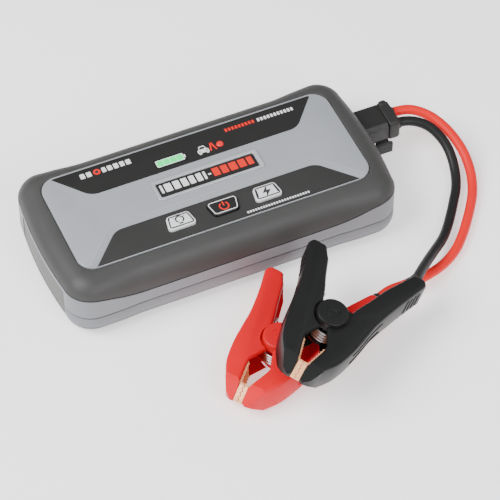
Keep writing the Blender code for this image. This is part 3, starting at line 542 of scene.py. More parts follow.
def build_case(m):
    """Two shells that meet at a dark seam, and a dark band at the joint under the bezel that paints
    the shade where the bezel turns down.
    """
    rings = []
    for i in range(9):
        angle = math.pi / 2 * i / 8
        depth = EDGE_R * (1 - math.sin(angle))
        rings.append(case_ring(depth, FOOT_Z + EDGE_R * (1 - math.cos(angle))))
    rings += [case_ring(0.0, SEAM[0] - SEAM_CHAMFER), case_ring(SEAM_CHAMFER, SEAM[0])]
    rings += [case_ring(WALL, SEAM[0]), case_ring(WALL, FOOT_Z + EDGE_R), case_ring(*FLOOR_INSIDE)]
    lower = loft("shell_lower", rings, m["grey"])
    sink_screws(lower)
    combine(lower, end_cutters())
    show(lower, "pack", "grey", "lower_shell")
    rings = [case_ring(SEAM_CHAMFER, SEAM[1]), case_ring(0.0, SEAM[1] + SEAM_CHAMFER)]
    rings += [at_rim(case_outline(), -0.3), at_rim(case_outline(0.25), 0.0)]
    rings += [at_rim(case_outline(WALL), 0.0), case_ring(WALL, SEAM[1])]
    upper = combine(loft("shell_upper", rings, m["grey"], looped=True), end_cutters())
    show(upper, "pack", "grey", "upper_shell")
    rings = stack(case_outline(), (0.4, 13.7), (0.4, 14.3), (2.0, 14.3), (2.0, 13.7))
    seam = combine(loft("shell_seal", rings, m["pad"], looped=True), end_cutters())
    show(seam, "pack", "black")
    # dark band at the joint under the bezel; its darkness is painted shade where the bezel turns down
    section = ((0.14, 0.0), (0.10, 0.62), (1.6, 0.62), (1.6, 0.0))
    rings = [at_rim(case_outline(depth), above) for depth, above in section]
    show(loft("rim_shade_band", rings, m["pad"], looped=True), "pack", "black")


def sink_screws(lower):
    """Open the four screw holes in the floor of the lower shell."""
    for x, y in rectangle(SCREW_X, -SCREW_X, SCREW_Y, -SCREW_Y):
        sink = turned("cutter", [(SCREW_HOLE_R, 0.0), (SCREW_HOLE_R, 3.0)], None, 24)
        combine(lower, [stand_at(sink, Matrix.Translation((x, y, 0)))])


def build_bezel(m):
    """Frame that rises in a rounded shoulder from the shell's rim to the panel."""
    panel = panel_outline(0.3)
    lip = panel_outline(-2.2)
    rings = [at_rim(case_outline(0.5), BEZEL_FOOT), at_rim(case_outline(0.18), 0.55)]
    for depth, share in BEZEL_CURVE:
        rings.append(at_rim(case_outline(depth), BEZEL_FOOT, BEZEL_TOP, share))
    rings.append(at_z(blend(case_outline(10.2), panel, 0.35), BEZEL_TOP))
    rings += stack(panel, (-0.35, BEZEL_TOP), (-0.1, 35.5), (0.0, 35.25), (0.0, LIP[1]))
    rings += stack(lip, (0.0, LIP[1]), (0.0, LIP[0]))
    rings += [at_rim(case_outline(7.6), BEZEL_FOOT, LIP[0], 0.9)]
    rings += [at_rim(case_outline(3.0), BEZEL_FOOT, 36.0, 0.12)]
    bezel = loft("bezel", rings, m["charcoal"], looped=True, sharp=50.0)
    show(bezel, "pack", "charcoal", "top_bezel")


# ------------ face
FAR = [(-56.3, 13.6), (56.3, 13.6), (71.2, 31.3), (-71.2, 31.3)]
NEAR = [(54.2, -12.2), (-54.2, -12.2), (-71.2, -30.65), (71.2, -30.65)]
NEAR_WIDE = [(55.9, -9.0), (-55.9, -9.0), (-76.0, -30.65), (76.0, -30.65)]
# middle, width at the near edge, width at the far edge
KEYS = {
    "light_key": (-22.8, 15.5, 12.0),
    "power_key": (0.8, 13.0, 17.0),
    "start_key": (24.0, 15.0, 12.0),
}
KEY_Y = (-24.5, -15.5)
KEY_TOP, KEY_EDGE = 36.9, 0.55
LABEL, LABEL_R = (-27, 31, -4, 9.3), 1.5
POCKET_Z, INLAY_Z = 34.9, 34.95
INLAY_GAP, KEY_GAP = 0.12, 0.3
TOP = 36.1
NEAR_TOP = 35.5
LABEL_TOP = 35.9
GAUGE_TOP = 36.15
LAMP_X, LAMP_Y = 15.8, 19.3
OVER = 40.0


def key_shape(name, grow=0.0):
    x, low, high = KEYS[name]
    y0, y1 = KEY_Y[0] - grow, KEY_Y[1] + grow
    a, b = low / 2 + grow, high / 2 + grow
    return rounded([(x - a, y0), (x + a, y0), (x + b, y1), (x - b, y1)], 2.0 + grow)


def inlay_shape(corners):
    return rounded(corners, (9.0, 9.0, 0.4, 0.4), 8)


def key_holes():
    return [prism("cutter", key_shape(name, KEY_GAP), 30.0, OVER, None) for name in KEYS]


def build_face(m):
    """Silver panel with two glossy inlays, the label, the gauge and the keys."""
    outline = panel_outline()
    rings = stack(outline, (0.0, 32.9), (0.0, 35.5), (0.08, 35.75), (0.25, 35.92), (0.5, 36.0))
    panel = loft("panel", rings, m["silver"])
    near, wide = inlay_shape(NEAR), inlay_shape(NEAR_WIDE)
    slope = stack(near, (-INLAY_GAP, POCKET_Z), (-INLAY_GAP, 35.25))
    cutters = [loft("cutter", slope + stack(wide, (0.0, 36.02), (0.0, OVER)), None)]
    for shape in (inlay_shape(FAR), rounded(rectangle(*LABEL), LABEL_R)):
        cutters.append(prism("cutter", inset(shape, -INLAY_GAP), POCKET_Z, OVER, None))
    bevelled(combine(panel, cutters + key_holes()), 0.12, 2)
    show(panel, "pack", "silver", "face_panel")
    gauge = prism("cutter", rounded(rectangle(-19.8, -2.6, 16.0, 22.0), 0.9), 30, OVER, None)
    lamp = turned("cutter", [(2.1, 30.0), (2.1, OVER)], None)
    stand_at(lamp, Matrix.Translation((LAMP_X, LAMP_Y, 0)))
    far = prism("inlay_far", inlay_shape(FAR), INLAY_Z, TOP, m["gloss"], 0.12, 2)
    combine(far, [gauge, lamp])
    show(far, "pack", "gloss", "far_inlay")
    # near inlay in the lighter gloss, a painted reflection
    near = prism("inlay_near", inlay_shape(NEAR), INLAY_Z, NEAR_TOP, m["gloss_painted_reflection"], 0.12, 2)
    combine(near, key_holes())
    show(near, "pack", "gloss", "near_inlay")
    # painted highlight: a light strip along the top of the near slope
    highlight_path = [(74.6, -29.2)] + wide[:18] + [(-74.6, -29.2)]
    painted_glint = mark("painted_highlight_strip", ribbon(highlight_path, 0.55), 36.0, m["trim_and_highlight"], "pack", 0.07)
    build_label(m)
    build_gauge(m)
    build_keys(m)
    build_marks(m)


def build_label(m):
    """Framed plate in the middle, with bars where the real one has lettering."""
    outer = rounded(rectangle(*LABEL), LABEL_R)
    inner = rounded(rectangle(-25, 28.3, -2.5, 7.0), 0.9)
    rings = stack(outer, (0.0, INLAY_Z), (0.0, 36.2), (0.15, 36.45), (0.5, 36.58))
    rings += stack(inner, (-0.35, 36.55), (-0.1, 36.4), (0.0, 36.1), (0.0, INLAY_Z))
    rim = loft("label_rim", rings, m["trim_and_highlight"], looped=True, sharp=50.0)
    show(rim, "pack", "silver", "label_frame")
    plate = prism("label_face", inset(inner, 0.15), INLAY_Z, LABEL_TOP, m["gloss"], 0.1, 2)
    show(plate, "pack", "gloss", "label_plate")
    whites = bars(-23.6, 0.2, 5.4, (1.3, 3.7, 3.4, 3.2, 2.9, 2.9, 1.3), 1.0, 0.35)
    mark("label_bars", whites, LABEL_TOP, m["ink_white"], "pack")
    dash = bars(2.2, 2.2, 1.1, (1.6,), 1.0, 0.3)
    mark("label_dash", dash, LABEL_TOP, m["ink_white"], "pack")
    reds = bars(4.8, 0.2, 5.4, (3.6, 3.6, 4.0, 3.8, 3.0), 0.95, 0.35)
    mark("label_bars_red", reds, LABEL_TOP, m["ink_red"], "pack")


def bars(x, y, height, widths, gap, corner):
    """Row of rounded bars standing for a line of print."""
    made = []
    for width in widths:
        made.append(rounded(rectangle(x, x + width, y, y + height), corner, 3))
        x += width + gap
    return made


def mark(name, outlines, z, ink, body, thick=0.07):
    """Thin printed shapes lying on a face."""
    if not isinstance(outlines[0], list):
        outlines = [outlines]
    points, faces = [], []
    for outline in outlines:
        first, count = len(points), len(outline)
        points += at_z(outline, z - 0.02) + at_z(outline, z + thick)
        faces.append(tuple(range(first + count - 1, first - 1, -1)))
        faces.append(tuple(range(first + count, first + 2 * count)))
        for i in range(count):
            j = (i + 1) % count
            faces.append((first + i, first + j, first + count + j, first + count + i))
    made = solid(name, points, faces, ink)
    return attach(made, body)


def build_gauge(m):
    """Charge window with four lit bars, and the round lamp beside it."""
    window = rounded(rectangle(-19.6, -2.8, 16.2, 21.8), 0.8)
    lens = prism("gauge", window, 33.8, GAUGE_TOP, m["gloss"], 0.15, 2)
    show(lens, "pack", "green_lens", "gauge_lens")
    outer = rounded(rectangle(-19.2, -4.2, 16.7, 21.3), 0.7, 4)
    mark("gauge_line", outer, GAUGE_TOP, m["ink_white"], "pack", 0.04)
    mark("gauge_field", inset(outer, 0.35), 36.19, m["green_dim"], "pack", 0.03)
    nub = rounded(rectangle(-4.1, -3.3, 18.0, 20.0), 0.25, 3)
    mark("gauge_nub", nub, GAUGE_TOP, m["ink_white"], "pack", 0.05)
    for i in range(4):
        x = -18.4 + i * 3.5
        bar = rounded(rectangle(x, x + 2.9, 17.4, 20.6), 0.3, 3)
        mark(f"gauge_bar_{i}", bar, 36.24, m["green"], "pack", 0.05)
    dome = [(1.9, 31.0), (1.9, 36.1), (1.8, 36.3), (1.5, 36.5), (1.0, 36.62), (0.3, 36.66)]
    lamp = turned("lamp", dome, m["red_lens"])
    stand_at(lamp, Matrix.Translation((LAMP_X, LAMP_Y, 0)))
    show(lamp, "pack", "red_lens", "status_led")


def build_keys(m):
    """Three domed keys with their outlines and signs."""
    finish = {"light_key": "light_grey", "power_key": "gloss", "start_key": "light_grey"}
    body = {name: name.replace("_key", "_button") for name in finish}
    for name, ink in finish.items():
        small, wide = key_shape(name), key_shape(name, 1.2)
        foot = KEY_TOP - KEY_EDGE
        rings = stack(wide, (0.0, 31.0), (0.0, 32.5)) + stack(small, (0.0, 32.5), (0.0, foot))
        for i in range(1, 5):
            angle = math.pi / 2 * i / 4
            depth = KEY_EDGE * (1 - math.cos(angle))
            rings += stack(small, (depth, foot + KEY_EDGE * math.sin(angle)))
        show(loft(name + "_cap", rings, m[ink]), body[name], ink, name)
    top = KEY_TOP
    outlines = (
        ("power_key", "power_line", (0.55, 1.0), 0.04, "ink_white"),
        ("light_key", "light_key_line", (0.85, 1.55), 0.05, "ink_dark"),
        ("start_key", "start_key_line", (0.85, 1.55), 0.05, "ink_dark"),
    )
    for name, label, depths, rise, ink in outlines:
        outer, inner = [inset(key_shape(name), depth) for depth in depths]
        line = prism(label, outer, top - 0.05, top + rise, m[ink])
        combine(line, [prism("cutter", inner, top - 1, top + 1, None)])
        show(line, body[name], "light_grey")
    ring = arc(0.8, -20.3, 2.3, 125, 415, 28)
    mark("power_ring", ribbon(ring, 0.75), top, m["ink_red"], "power_button")
    bar = rounded(rectangle(0.42, 1.18, -20.2, -17.2), 0.3, 3)
    mark("power_bar", bar, top, m["ink_red"], "power_button")
    bulb = arc(-22.8, -19.4, 2.0, -60, 240, 22)
    mark("bulb", ribbon(bulb, 0.7), top, m["ink_dark"], "light_button")
    base = rounded(rectangle(-23.8, -21.8, -22.4, -21.5), 0.3, 3)
    mark("bulb_base", base, top, m["ink_dark"], "light_button")
    for i, angle in enumerate((30, 90, 150)):
        a = math.radians(angle)
        ray = [(-22.8 + r * math.cos(a), -19.4 + r * math.sin(a)) for r in (2.6, 3.3)]
        mark(f"bulb_ray_{i}", ribbon(ray, 0.4), top, m["ink_dark"], "light_button")
    bolt = [(24.9, -16.6), (21.6, -20.6), (23.7, -20.6), (22.7, -23.6), (26.4, -19.4), (24.3, -19.4)]
    mark("bolt", bolt, top, m["ink_dark"], "start_button")
    for side in (-1, 1):
        rail = [(24 + side * 5.4, -22.4), (24 + side * 4.7, -17.6)]
        mark(f"start_rail_{side + 1}", ribbon(rail, 0.6), top, m["ink_dark"], "start_button")


def build_marks(m):
    """Plain bars and simple signs in place of the printed lettering."""
    white, red = m["ink_white"], m["ink_red"]
    on_print = TOP + 0.07
    car = [(3.2, 17.0), (9.2, 17.0), (9.2, 18.9), (8.3, 19.4)]
    car += [(7.6, 21.6), (4.8, 21.6), (4.1, 19.4), (3.2, 18.9)]
    mark("car", car, TOP, white, "pack")
    window = [(4.6, 19.5), (7.8, 19.5), (7.3, 21.0), (5.1, 21.0)]
    mark("car_window", window, on_print, m["ink_dark"], "pack", 0.03)
    wheels = bars(3.6, 16.1, 1.1, (1.3,), 1, 0.25) + bars(7.5, 16.1, 1.1, (1.3,), 1, 0.25)
    mark("car_wheels", wheels, TOP, white, "pack")
    lamps = [circle(0.42, 12, x, 18.1) for x in (4.25, 8.15)]
    mark("car_lamps", lamps, on_print, m["ink_dark"], "pack", 0.03)
    clip = [ribbon([(9.9, 16.6), (11.3, 21.9)], 0.9), ribbon([(13.0, 16.6), (11.6, 21.9)], 0.9)]
    mark("clip", clip, TOP, red, "pack")
    mark("caption_red", bars(21.6, 25.4, 2.2, (1.25,) * 9, 0.62, 0.25), TOP, red, "pack")
    mark("caption_white", bars(39.6, 25.4, 2.2, (1.25,) * 11, 0.62, 0.25), TOP, white, "pack")
    mark("badge_left", bars(-57.2, 25.2, 3.3, (2.5, 2.6), 0.9, 0.4), TOP, white, "pack")
    mark("badge_disc", circle(1.9, 28, -48.2, 26.9), TOP, red, "pack")
    mark("badge_hub", circle(0.9, 20, -48.2, 26.9), on_print, m["ink_dark"], "pack", 0.03)
    right = bars(-45.5, 25.2, 3.3, (2.1, 2.5, 2.5, 2.4, 2.6), 0.85, 0.4)
    mark("badge_right", right, TOP, white, "pack")
    hint = bars(10.0, -28.6, 1.3, (0.95,) * 24, 0.48, 0.15)
    mark("hint", hint, NEAR_TOP, white, "pack", 0.05)


# ------------ ends
PLUG_Y, PLUG_Z = 15.0, 17.0
LEAD_Y = {"red": 18.9, "black": 11.1}
BORE_R, BORE_DEPTH, BORE_APART = 2.7, 14.0, 3.7
# sections along X: distance out, half width, half height, corner radius
SOCKET = (
    (70.0, 9.7, 7.5, 2.0), (90.0, 9.7, 7.5, 2.0), (90.4, 9.4, 7.2, 1.8),
    (90.4, 8.8, 6.5, 1.6), (90.0, 8.5, 6.2, 1.6), (77.5, 8.5, 6.2, 1.6),
)
COLLAR = (
    (106.2, 8.3, 6.0, 1.9), (106.6, 8.6, 6.3, 2.2), (110.4, 8.7, 6.4, 2.4),
    (111.3, 8.6, 6.3, 2.4), (111.9, 8.2, 5.9, 2.2), (112.1, 7.5, 5.2, 1.9),
)
# the same, and the chamfer of the near upper edge
PLUG = (
    (78.0, 7.4, 5.1, 1.1, 1.7), (78.8, 8.1, 5.8, 1.2, 2.0),
    (105.5, 8.1, 5.8, 1.2, 2.0), (106.0, 7.8, 5.5, 1.2, 2.0),
)
COVER_X, COVER_Y = 91.9, -2.4
FLAP_Y, FLAP_WIDTH, FLAP_Z = -28.8, 52.6, (7.95, 23.75)
FLAP_OPENING = (-24.3, -7.4, -29.3, 24.3)


def plug_ring(x, half_y, half_z, radius, cut):
    """Section of the plug: a rounded rectangle whose near upper edge is chamfered."""
    shape = [(-half_z, -half_y), (half_z - cut, -half_y), (half_z, cut - half_y)]
    shape += [(half_z, half_y), (-half_z, half_y)]
    edges = rounded(shape, (radius, 0.45, 0.45, radius, radius), 5)
    return [(x, PLUG_Y + b, PLUG_Z + a) for a, b in edges]


def station(x, half_y, half_z, radius):
    shape = rounded(rectangle(-half_z, half_z, -half_y, half_y), radius, 6)
    return [(x, PLUG_Y + b, PLUG_Z + a) for a, b in shape]


def build_ends(m):
    """Socket and plug, cover, flap and torch lens."""
    socket = loft("socket", [station(*row) for row in SOCKET], m["dark"])
    show(socket, "pack", "black", "output_socket")
    plug = loft("plug_body", [plug_ring(*row) for row in PLUG], m["dark"])
    bores = []
    for side in (-1, 1):
        bore = turned("cutter", [(BORE_R, -1.0), (BORE_R, BORE_DEPTH)], None)
        bores.append(stand_at(bore, along_x(PLUG[0][0], PLUG_Y + side * BORE_APART, PLUG_Z)))
    show(combine(plug, bores), "leads", "black", "plug_housing")
    collar = loft("plug_end", [station(*row) for row in COLLAR], m["dark"])
    show(collar, "leads", "black", "plug_collar")
    ridge = block("plug_ridge", 106.8, 111.0, 20.0, 23.5, 21.0, 24.0, m["dark"], 1.0)
    show(ridge, "leads", "black")
    build_cover(m)
    build_flap(m)
    rings = [(6.5, 2.6), (6.5, 4.4), (6.2, 4.8), (5.4, 5.2), (3.6, 5.6), (1.4, 5.8), (0.2, 5.82)]
    lens = stand_at(turned("torch", rings, m["lens"], 48), along_x(85, TORCH_Y, TORCH_Z))
    show(lens, "pack", "clear_lens", "torch_lens")


def build_cover(m):
    """Socket cover hanging open on an upright hinge beside the plug."""
    x, y = COVER_X, COVER_Y
    shape = rounded(rectangle(x - 0.6, 103.2, y - 1.1, y + 1.1), 0.8)
    plate = bevelled(prism("cover_plate", shape, 14.0, 20.6, m["rubber"]), 0.6, 3)
    show(plate, "cover", "rubber", "socket_cover")
    stopper = block("cover_stopper", 95.2, 102.4, y + 0.9, y + 4.2, 15.0, 19.6, m["pad"])
    show(bevelled(stopper, 0.8, 3), "cover", "rubber")
    rib = block("cover_rib", x + 0.2, x + 1.4, y - 1.5, y + 1.5, 14.6, 20.0, m["rubber"])
    show(bevelled(rib, 0.4, 2), "cover", "rubber")


def build_flap(m):
    """Port flap that follows the bowed end, and a dark ring round its opening that paints the shade
    in the gap.
    """
    spots = [FLAP_Y + FLAP_WIDTH * i / 24 for i in range(25)]
    outer = [(0.25 - end_x(y), y) for y in spots]
    inner = [(2.0 - end_x(y), y) for y in spots]
    flap = prism("flap", outer[::-1] + inner, *FLAP_Z, m["flap"])
    notch = stand_at(turned("cutter", [(3.2, -3.0), (3.2, 3.0)], None), along_x(-90.5, 2.0, 26.1))
    combine(flap, [notch], sharp=30.0)
    bevelled(flap, 0.35, 3)
    show(flap, "flap", "rubber", "port_flap")
    # painted shade: a dark ring just inside the opening stands for the shadow in the gap round the
    # flap
    opening = rounded(rectangle(*FLAP_OPENING), 0.8, 3)
    rings = []
    for shrink, depth in ((0.0, 0.45), (0.0, 4.5), (0.3, 4.5), (0.3, 0.45)):
        edge = inset(opening, shrink)
        rings.append([(depth - end_x(y), y, -z) for z, y in edge])
    show(loft("port_gap_shade", rings, m["pad"], looped=True), "pack", "black")


# ------------ leads
# route of each lead's middle, from inside the plug to its handle
ROUTES = {
    "red": (
        (104.0, 18.9, 17.0), (109.0, 18.9, 17.0), (115.6, 18.8, 17.0), (122.3, 17.4, 16.9),
        (127.7, 13.5, 16.4), (132.3, 7.7, 15.2), (135.9, -0.2, 13.2), (138.0, -8.2, 10.6),
        (138.8, -15.6, 7.8), (137.9, -23.5, 5.4), (135.7, -30.7, 3.8), (132.2, -37.9, 3.0),
        (127.4, -45.1, 2.8), (122.0, -52.1, 2.8), (115.4, -60.0, 2.8), (107.6, -67.6, 2.8),
        (98.4, -73.6, 3.4), (88.6, -77.8, 5.0), (79.0, -80.4, 6.6), (70.4, -81.2, 7.6),
        (62.4, -82.2, 8.6),
    ),
    "black": (
        (104.0, 11.1, 17.0), (109.0, 11.1, 17.0), (115.6, 11.0, 17.0), (121.8, 8.6, 16.6),
        (126.9, 4.2, 15.4), (130.1, -1.4, 13.2), (132.0, -7.7, 10.2), (132.0, -14.8, 6.8),
        (130.0, -23.0, 4.0), (126.5, -30.6, 3.0), (121.6, -37.8, 2.8), (115.6, -46.0, 2.8),
        (109.6, -53.6, 3.4), (102.8, -61.1, 5.5), (93.1, -69.8, 9.4), (83.0, -79.4, 14.4),
    ),
}
# pivot, heading, lean and pitch of each clamp
CLAMPS = {
    "black": ((18.5, -103.6, 29.3), 39.5, 14.0, -4.0),
    "red": ((-2.2, -93.0, 9.2), 34.2, 0.0, 0.0),
}
LEAD_IN_HANDLE = ((25.4, 50.5, 0.0), (24.9, 44.0, 0.0), (23.6, 37.5, 0.0))
LEAD_R, LEAD_STEP = 2.6, 2.5


def clamp_matrix(colour):
    """From a clamp's own axes to its place on the floor."""
    at, turn, lean, pitch = CLAMPS[colour]
    turned_by = Matrix.Rotation(math.radians(turn - 90), 4, "Z")
    leaned = Matrix.Rotation(math.radians(lean), 4, "Y")
    return Matrix.Translation(at) @ turned_by @ leaned @ Matrix.Rotation(math.radians(pitch), 4, "X")


def smooth_line(points, steps):
    """Smooth curve through the points, with this many steps between two of them."""
    knots = [Vector(p) for p in points]
    knots = [2 * knots[0] - knots[1]] + knots + [2 * knots[-1] - knots[-2]]
    line = []
    for a, b, c, d in zip(knots, knots[1:], knots[2:], knots[3:]):
        for i in range(steps):
            t = i / steps
            line.append(0.5 * (2 * b + (c - a) * t + (2 * a - 5 * b + 4 * c - d) * t * t
                               + (3 * b - a - 3 * c + d) * t ** 3))
    return line + [knots[-2]]


def even_route(points, step):
    """Smooth route with evenly spaced points, and its length."""
    fine = smooth_line(points, 12)
    run = [0.0]
    for a, b in zip(fine, fine[1:]):
        run.append(run[-1] + (b - a).length)
    count = max(2, round(run[-1] / step))
    even, index = [], 0
    for k in range(count + 1):
        goal = run[-1] * k / count
        while index < len(fine) - 2 and run[index + 1] < goal:
            index += 1
        span = run[index + 1] - run[index]
        even.append(fine[index].lerp(fine[index + 1], min(1.0, (goal - run[index]) / span)))
    return even, run[-1]


def tube(name, points, radius, made_of, roundness=8):
    """Round cord through the points."""
    curve = bpy.data.curves.new(name, "CURVE")
    curve.dimensions = "3D"
    curve.bevel_depth = radius * MM
    curve.bevel_resolution = roundness
    curve.use_fill_caps = True
    line = curve.splines.new("POLY")
    line.points.add(len(points) - 1)
    for spot, place in zip(line.points, points):
        spot.co = (*(Vector(place) * MM), 1.0)
    line.use_smooth = True
    curve.materials.append(made_of)
    obj = bpy.data.objects.new(name, curve)
    bpy.context.scene.collection.objects.link(obj)
    return obj


def build_cords(m):
    """Both leads, each with the sleeve where it leaves the plug."""
    for colour, start_y in LEAD_Y.items():
        matrix = clamp_matrix(colour)
        spots = [tuple(matrix @ Vector(p)) for p in LEAD_IN_HANDLE]
        points, length = even_route(list(ROUTES[colour]) + spots, LEAD_STEP)
        cord = tube(f"{colour}_lead", points, LEAD_R, m[f"{colour}_jacket"])
        show(cord, "leads", colour, f"{colour}_cable")
        relief = relief_sleeve(f"{colour}_relief", start_y, m["dark"])


def relief_sleeve(name, y, made_of):
    """Short tapered collar where a lead leaves the plug."""
    profile = [(2.75, 0.0), (3.3, 0.0), (3.25, 0.7), (3.1, 1.2), (3.05, 1.7), (2.9, 2.1), (2.75, 2.2)]
    made = turned(name, profile, made_of, 32, looped=True)
    return show(stand_at(made, along_x(111.8, y, PLUG_Z)), "leads", "black")


# ------------ clamps
# Each clamp is drawn about its pivot: u across, v from nose to handle, w along the pivot.
OUTER = (
    (4.2, -38.9), (7.4, -37.0), (11.8, -30.2), (15.6, -23.0), (18.4, -12.5),
    (19.9, -2.5), (21.0, 6.5), (22.9, 15.0), (25.4, 24.0), (27.8, 32.0),
)
INNER = (
    (15.6, 30.0), (12.4, 20.5), (9.4, 13.0), (7.4, 6.5), (6.6, 0.0),
    (1.1, -8.0), (5.8, -18.0), (5.2, -22.0), (3.2, -29.9), (2.1, -37.6),
)
NOSE_SOCKET = [(2.5, -42.0), (2.5, -32.2), (5.1, -30.7), (9.3, -27.7), (12.8, -22.6)]
NOSE_LINE = (
    (-26.7, 12.0), (-29.9, 8.9), (-31.3, 7.5), (-32.6, 6.2), (-38.2, 1.35),
    (-39.2, 0.3), (-39.3, 0.0), (-45.0, 0.0), (-45.0, 12.0),
)
JAW_BACK = [
    (2.35, -38.4), (2.35, -32.0), (4.8, -30.5), (8.9, -27.5),
    (12.3, -22.5), (13.4, -17.0), (8.0, -15.0),
]
JAW_HOLLOW = [
    (-2.0, -31.4), (1.3, -31.4), (4.0, -29.6), (7.8, -26.9),
    (10.8, -21.8), (11.4, -8.0), (-2.0, -8.0),
]
# side and handle end of the two halves
HALVES = {"cable": (1, 48.0), "free": (-1, 37.0)}
EARS = {"cable": (6.4, 8.0), "free": (4.3, 6.1)}
POCKET_W, JAW_W, HOLLOW_W = 6.4, 5.8, 4.8
BORE, JAW_DROP = 2.8, 0.7
TEETH_FROM, TEETH_MEET, TEETH_TO = -19.0, -31.0, -38.5
TOOTH_PITCH, TOOTH_WAVE, JAW_SEAM, TOOTH_STEPS = 1.75, 0.42, 0.24, 94
COIL_R, COIL_WIRE, COIL_HALF, COIL_STEPS = 8.8, 0.65, 3.2, 140
CAP = [
    (8.0, 8.3), (8.0, 9.7), (7.85, 10.1), (7.4, 10.4), (6.9, 10.5), (3.4, 10.5),
    (3.3, 10.35), (2.9, 10.35), (2.8, 10.5), (1.5, 10.5), (1.4, 10.4), (0.3, 10.4),
]
PIN = [(5.3, -9.1), (5.6, -8.8), (5.6, -8.35), (2.5, -8.3), (2.5, 8.2)]
BOOT = [(3.0, -1.0), (4.6, -1.0), (4.6, 0.0), (4.0, 1.2), (3.7, 2.6), (3.3, 4.4), (3.0, 4.5)]


def spline(points):
    """Smooth plan line through the points."""
    return [tuple(p) for p in smooth_line(points, 4)]


def half_parts(end_v):
    """Outer line, rounded handle end and inner line of one half."""
    outer = [p for p in OUTER if p[1] < end_v - 6.0]
    slope = (OUTER[-1][0] - OUTER[-2][0]) / (OUTER[-1][1] - OUTER[-2][1])
    end_u = OUTER[-1][0] + slope * (end_v - OUTER[-1][1])
    inner_u = INNER[0][0] + (end_v - INNER[0][1]) * 0.4
    outer += [(end_u - 0.8, end_v - 4.0)]
    line = [OUTER[0]] + spline(outer[1:])
    end = [(end_u - du, end_v - dv) for du, dv in ((0.9, 2.6), (1.6, 1.2), (2.6, 0.3), (3.8, 0.0))]
    end += [(inner_u + du, end_v - dv) for du, dv in ((2.4, 0.1), (1.1, 0.7), (0.3, 2.2))]
    inner = spline(INNER[:4]) + list(INNER[4:])
    return line, end, inner


def half_outline(end_v):
    line, end, inner = half_parts(end_v)
    return line + end + inner


def pocket_outline(end_v):
    line, end, inner = half_parts(end_v)
    wall = inset(line + end + inner, 2.0)
    outer = NOSE_SOCKET + [p for p in wall[1: len(line) + 3] if p[1] > -20.0]
    return outer + [(inner[0][0] - 9.0, outer[-1][1]), (-9.0, 0.0), (-9.0, -42.0)]


def mirrored(outline, side):
    return outline if side > 0 else [(-u, v) for u, v in reversed(outline)]


def cover_rings(outline):
    """Cover half with rounded shoulders between its flat faces and its side wall."""
    shoulders = ((1.5, 8.0), (0.95, 7.85), (0.5, 7.5), (0.2, 7.0), (0.0, 6.3))
    return stack(outline, *((edge, -w) for edge, w in shoulders), *reversed(shoulders))


def nose_wedges(drop=0.0):
    """Slopes the nose from its flat faces down to its tip, above and below."""
    swing = Matrix(((0, 0, 1, 0), (1, 0, 0, 0), (0, 1, 0, 0), (0, 0, 0, 1)))
    made = []
    for side in (1, -1):
        outline = [(v + drop, side * w) for v, w in NOSE_LINE]
        made.append(stand_at(prism("cutter", outline, -30.0, 30.0, None), swing))
    return made


def ear_outline(side):
    ear = arc(0, 0, 7.8, 100, 260, 24)
    return mirrored(ear + [(18.2, -7.0), (18.8, -3.0), (19.6, 4.0), (19.9, 6.0)], side)


def along_handle(obj, u, v, swing=0.0):
    """Lay a turned solid along the lead where it enters the handle."""
    obj.data.transform(Matrix.Rotation(math.radians(-90), 4, "X"))
    obj.data.transform(Matrix.Rotation(math.radians(swing), 4, "Z"))
    obj.data.transform(Matrix.Translation(Vector((u, v, 0)) * MM))
    return obj


def build_half(colour, kind, m):
    """Handle cover of one half, hollowed for the jaw and bored for the pivot."""
    side, end_v = HALVES[kind]
    rings = cover_rings(mirrored(half_outline(end_v), side))
    half = loft(f"{colour}_{kind}", rings, m[colour])
    pocket = prism("cutter", mirrored(pocket_outline(end_v), side), -POCKET_W, POCKET_W, None)
    near, far = EARS[kind]
    ears = [prism("ear", ear_outline(side), *w, None) for w in ((near, far), (-far, -near))]
    if kind == "free":
        clear = turned("cutter", [(9.2, -12.0), (9.2, 12.0)], None, 48)
        combine(half, [clear, pocket])
        combine(half, (), ears)
    else:
        combine(half, (), ears)
        combine(half, [pocket])
        entry = turned("cutter", [(3.6, -7.0), (3.6, 7.0)], None)
        combine(half, [along_handle(entry, LEAD_IN_HANDLE[0][0], end_v)])
    bore = turned("cutter", [(BORE, -12.0), (BORE, 12.0)], None)
    combine(half, [bore] + nose_wedges(), sharp=30.0)
    bevelled(half, 0.3, 3, 30.0)
    return half


def jaw_outline(side):
    """Plan of one copper jaw; the two sides' waves mesh where the jaws meet."""
    teeth = []
    for i in range(TOOTH_STEPS + 1):
        v = TEETH_FROM + (TEETH_TO - TEETH_FROM) * i / TOOTH_STEPS
        wave = TOOTH_WAVE * math.sin(2 * math.pi * (v - TEETH_FROM) / TOOTH_PITCH)
        apart = 2.45 + wave + 0.24 * (v - TEETH_MEET)
        teeth.append((JAW_SEAM + side * wave if v < TEETH_MEET else apart, v))
    return JAW_BACK + teeth


def build_jaw(colour, kind, m):
    """Hollow copper jaw with its nose sloped like the handle's."""
    side = HALVES[kind][0]
    outline = mirrored(jaw_outline(side), side)
    jaw = prism(f"{colour}_{kind}_teeth", outline, -JAW_W, JAW_W, m["copper"])
    hollow = prism("cutter", mirrored(JAW_HOLLOW, side), -HOLLOW_W, HOLLOW_W, None)
    combine(jaw, [hollow] + nose_wedges(JAW_DROP))
    return bevelled(jaw, 0.12, 2, 40.0)


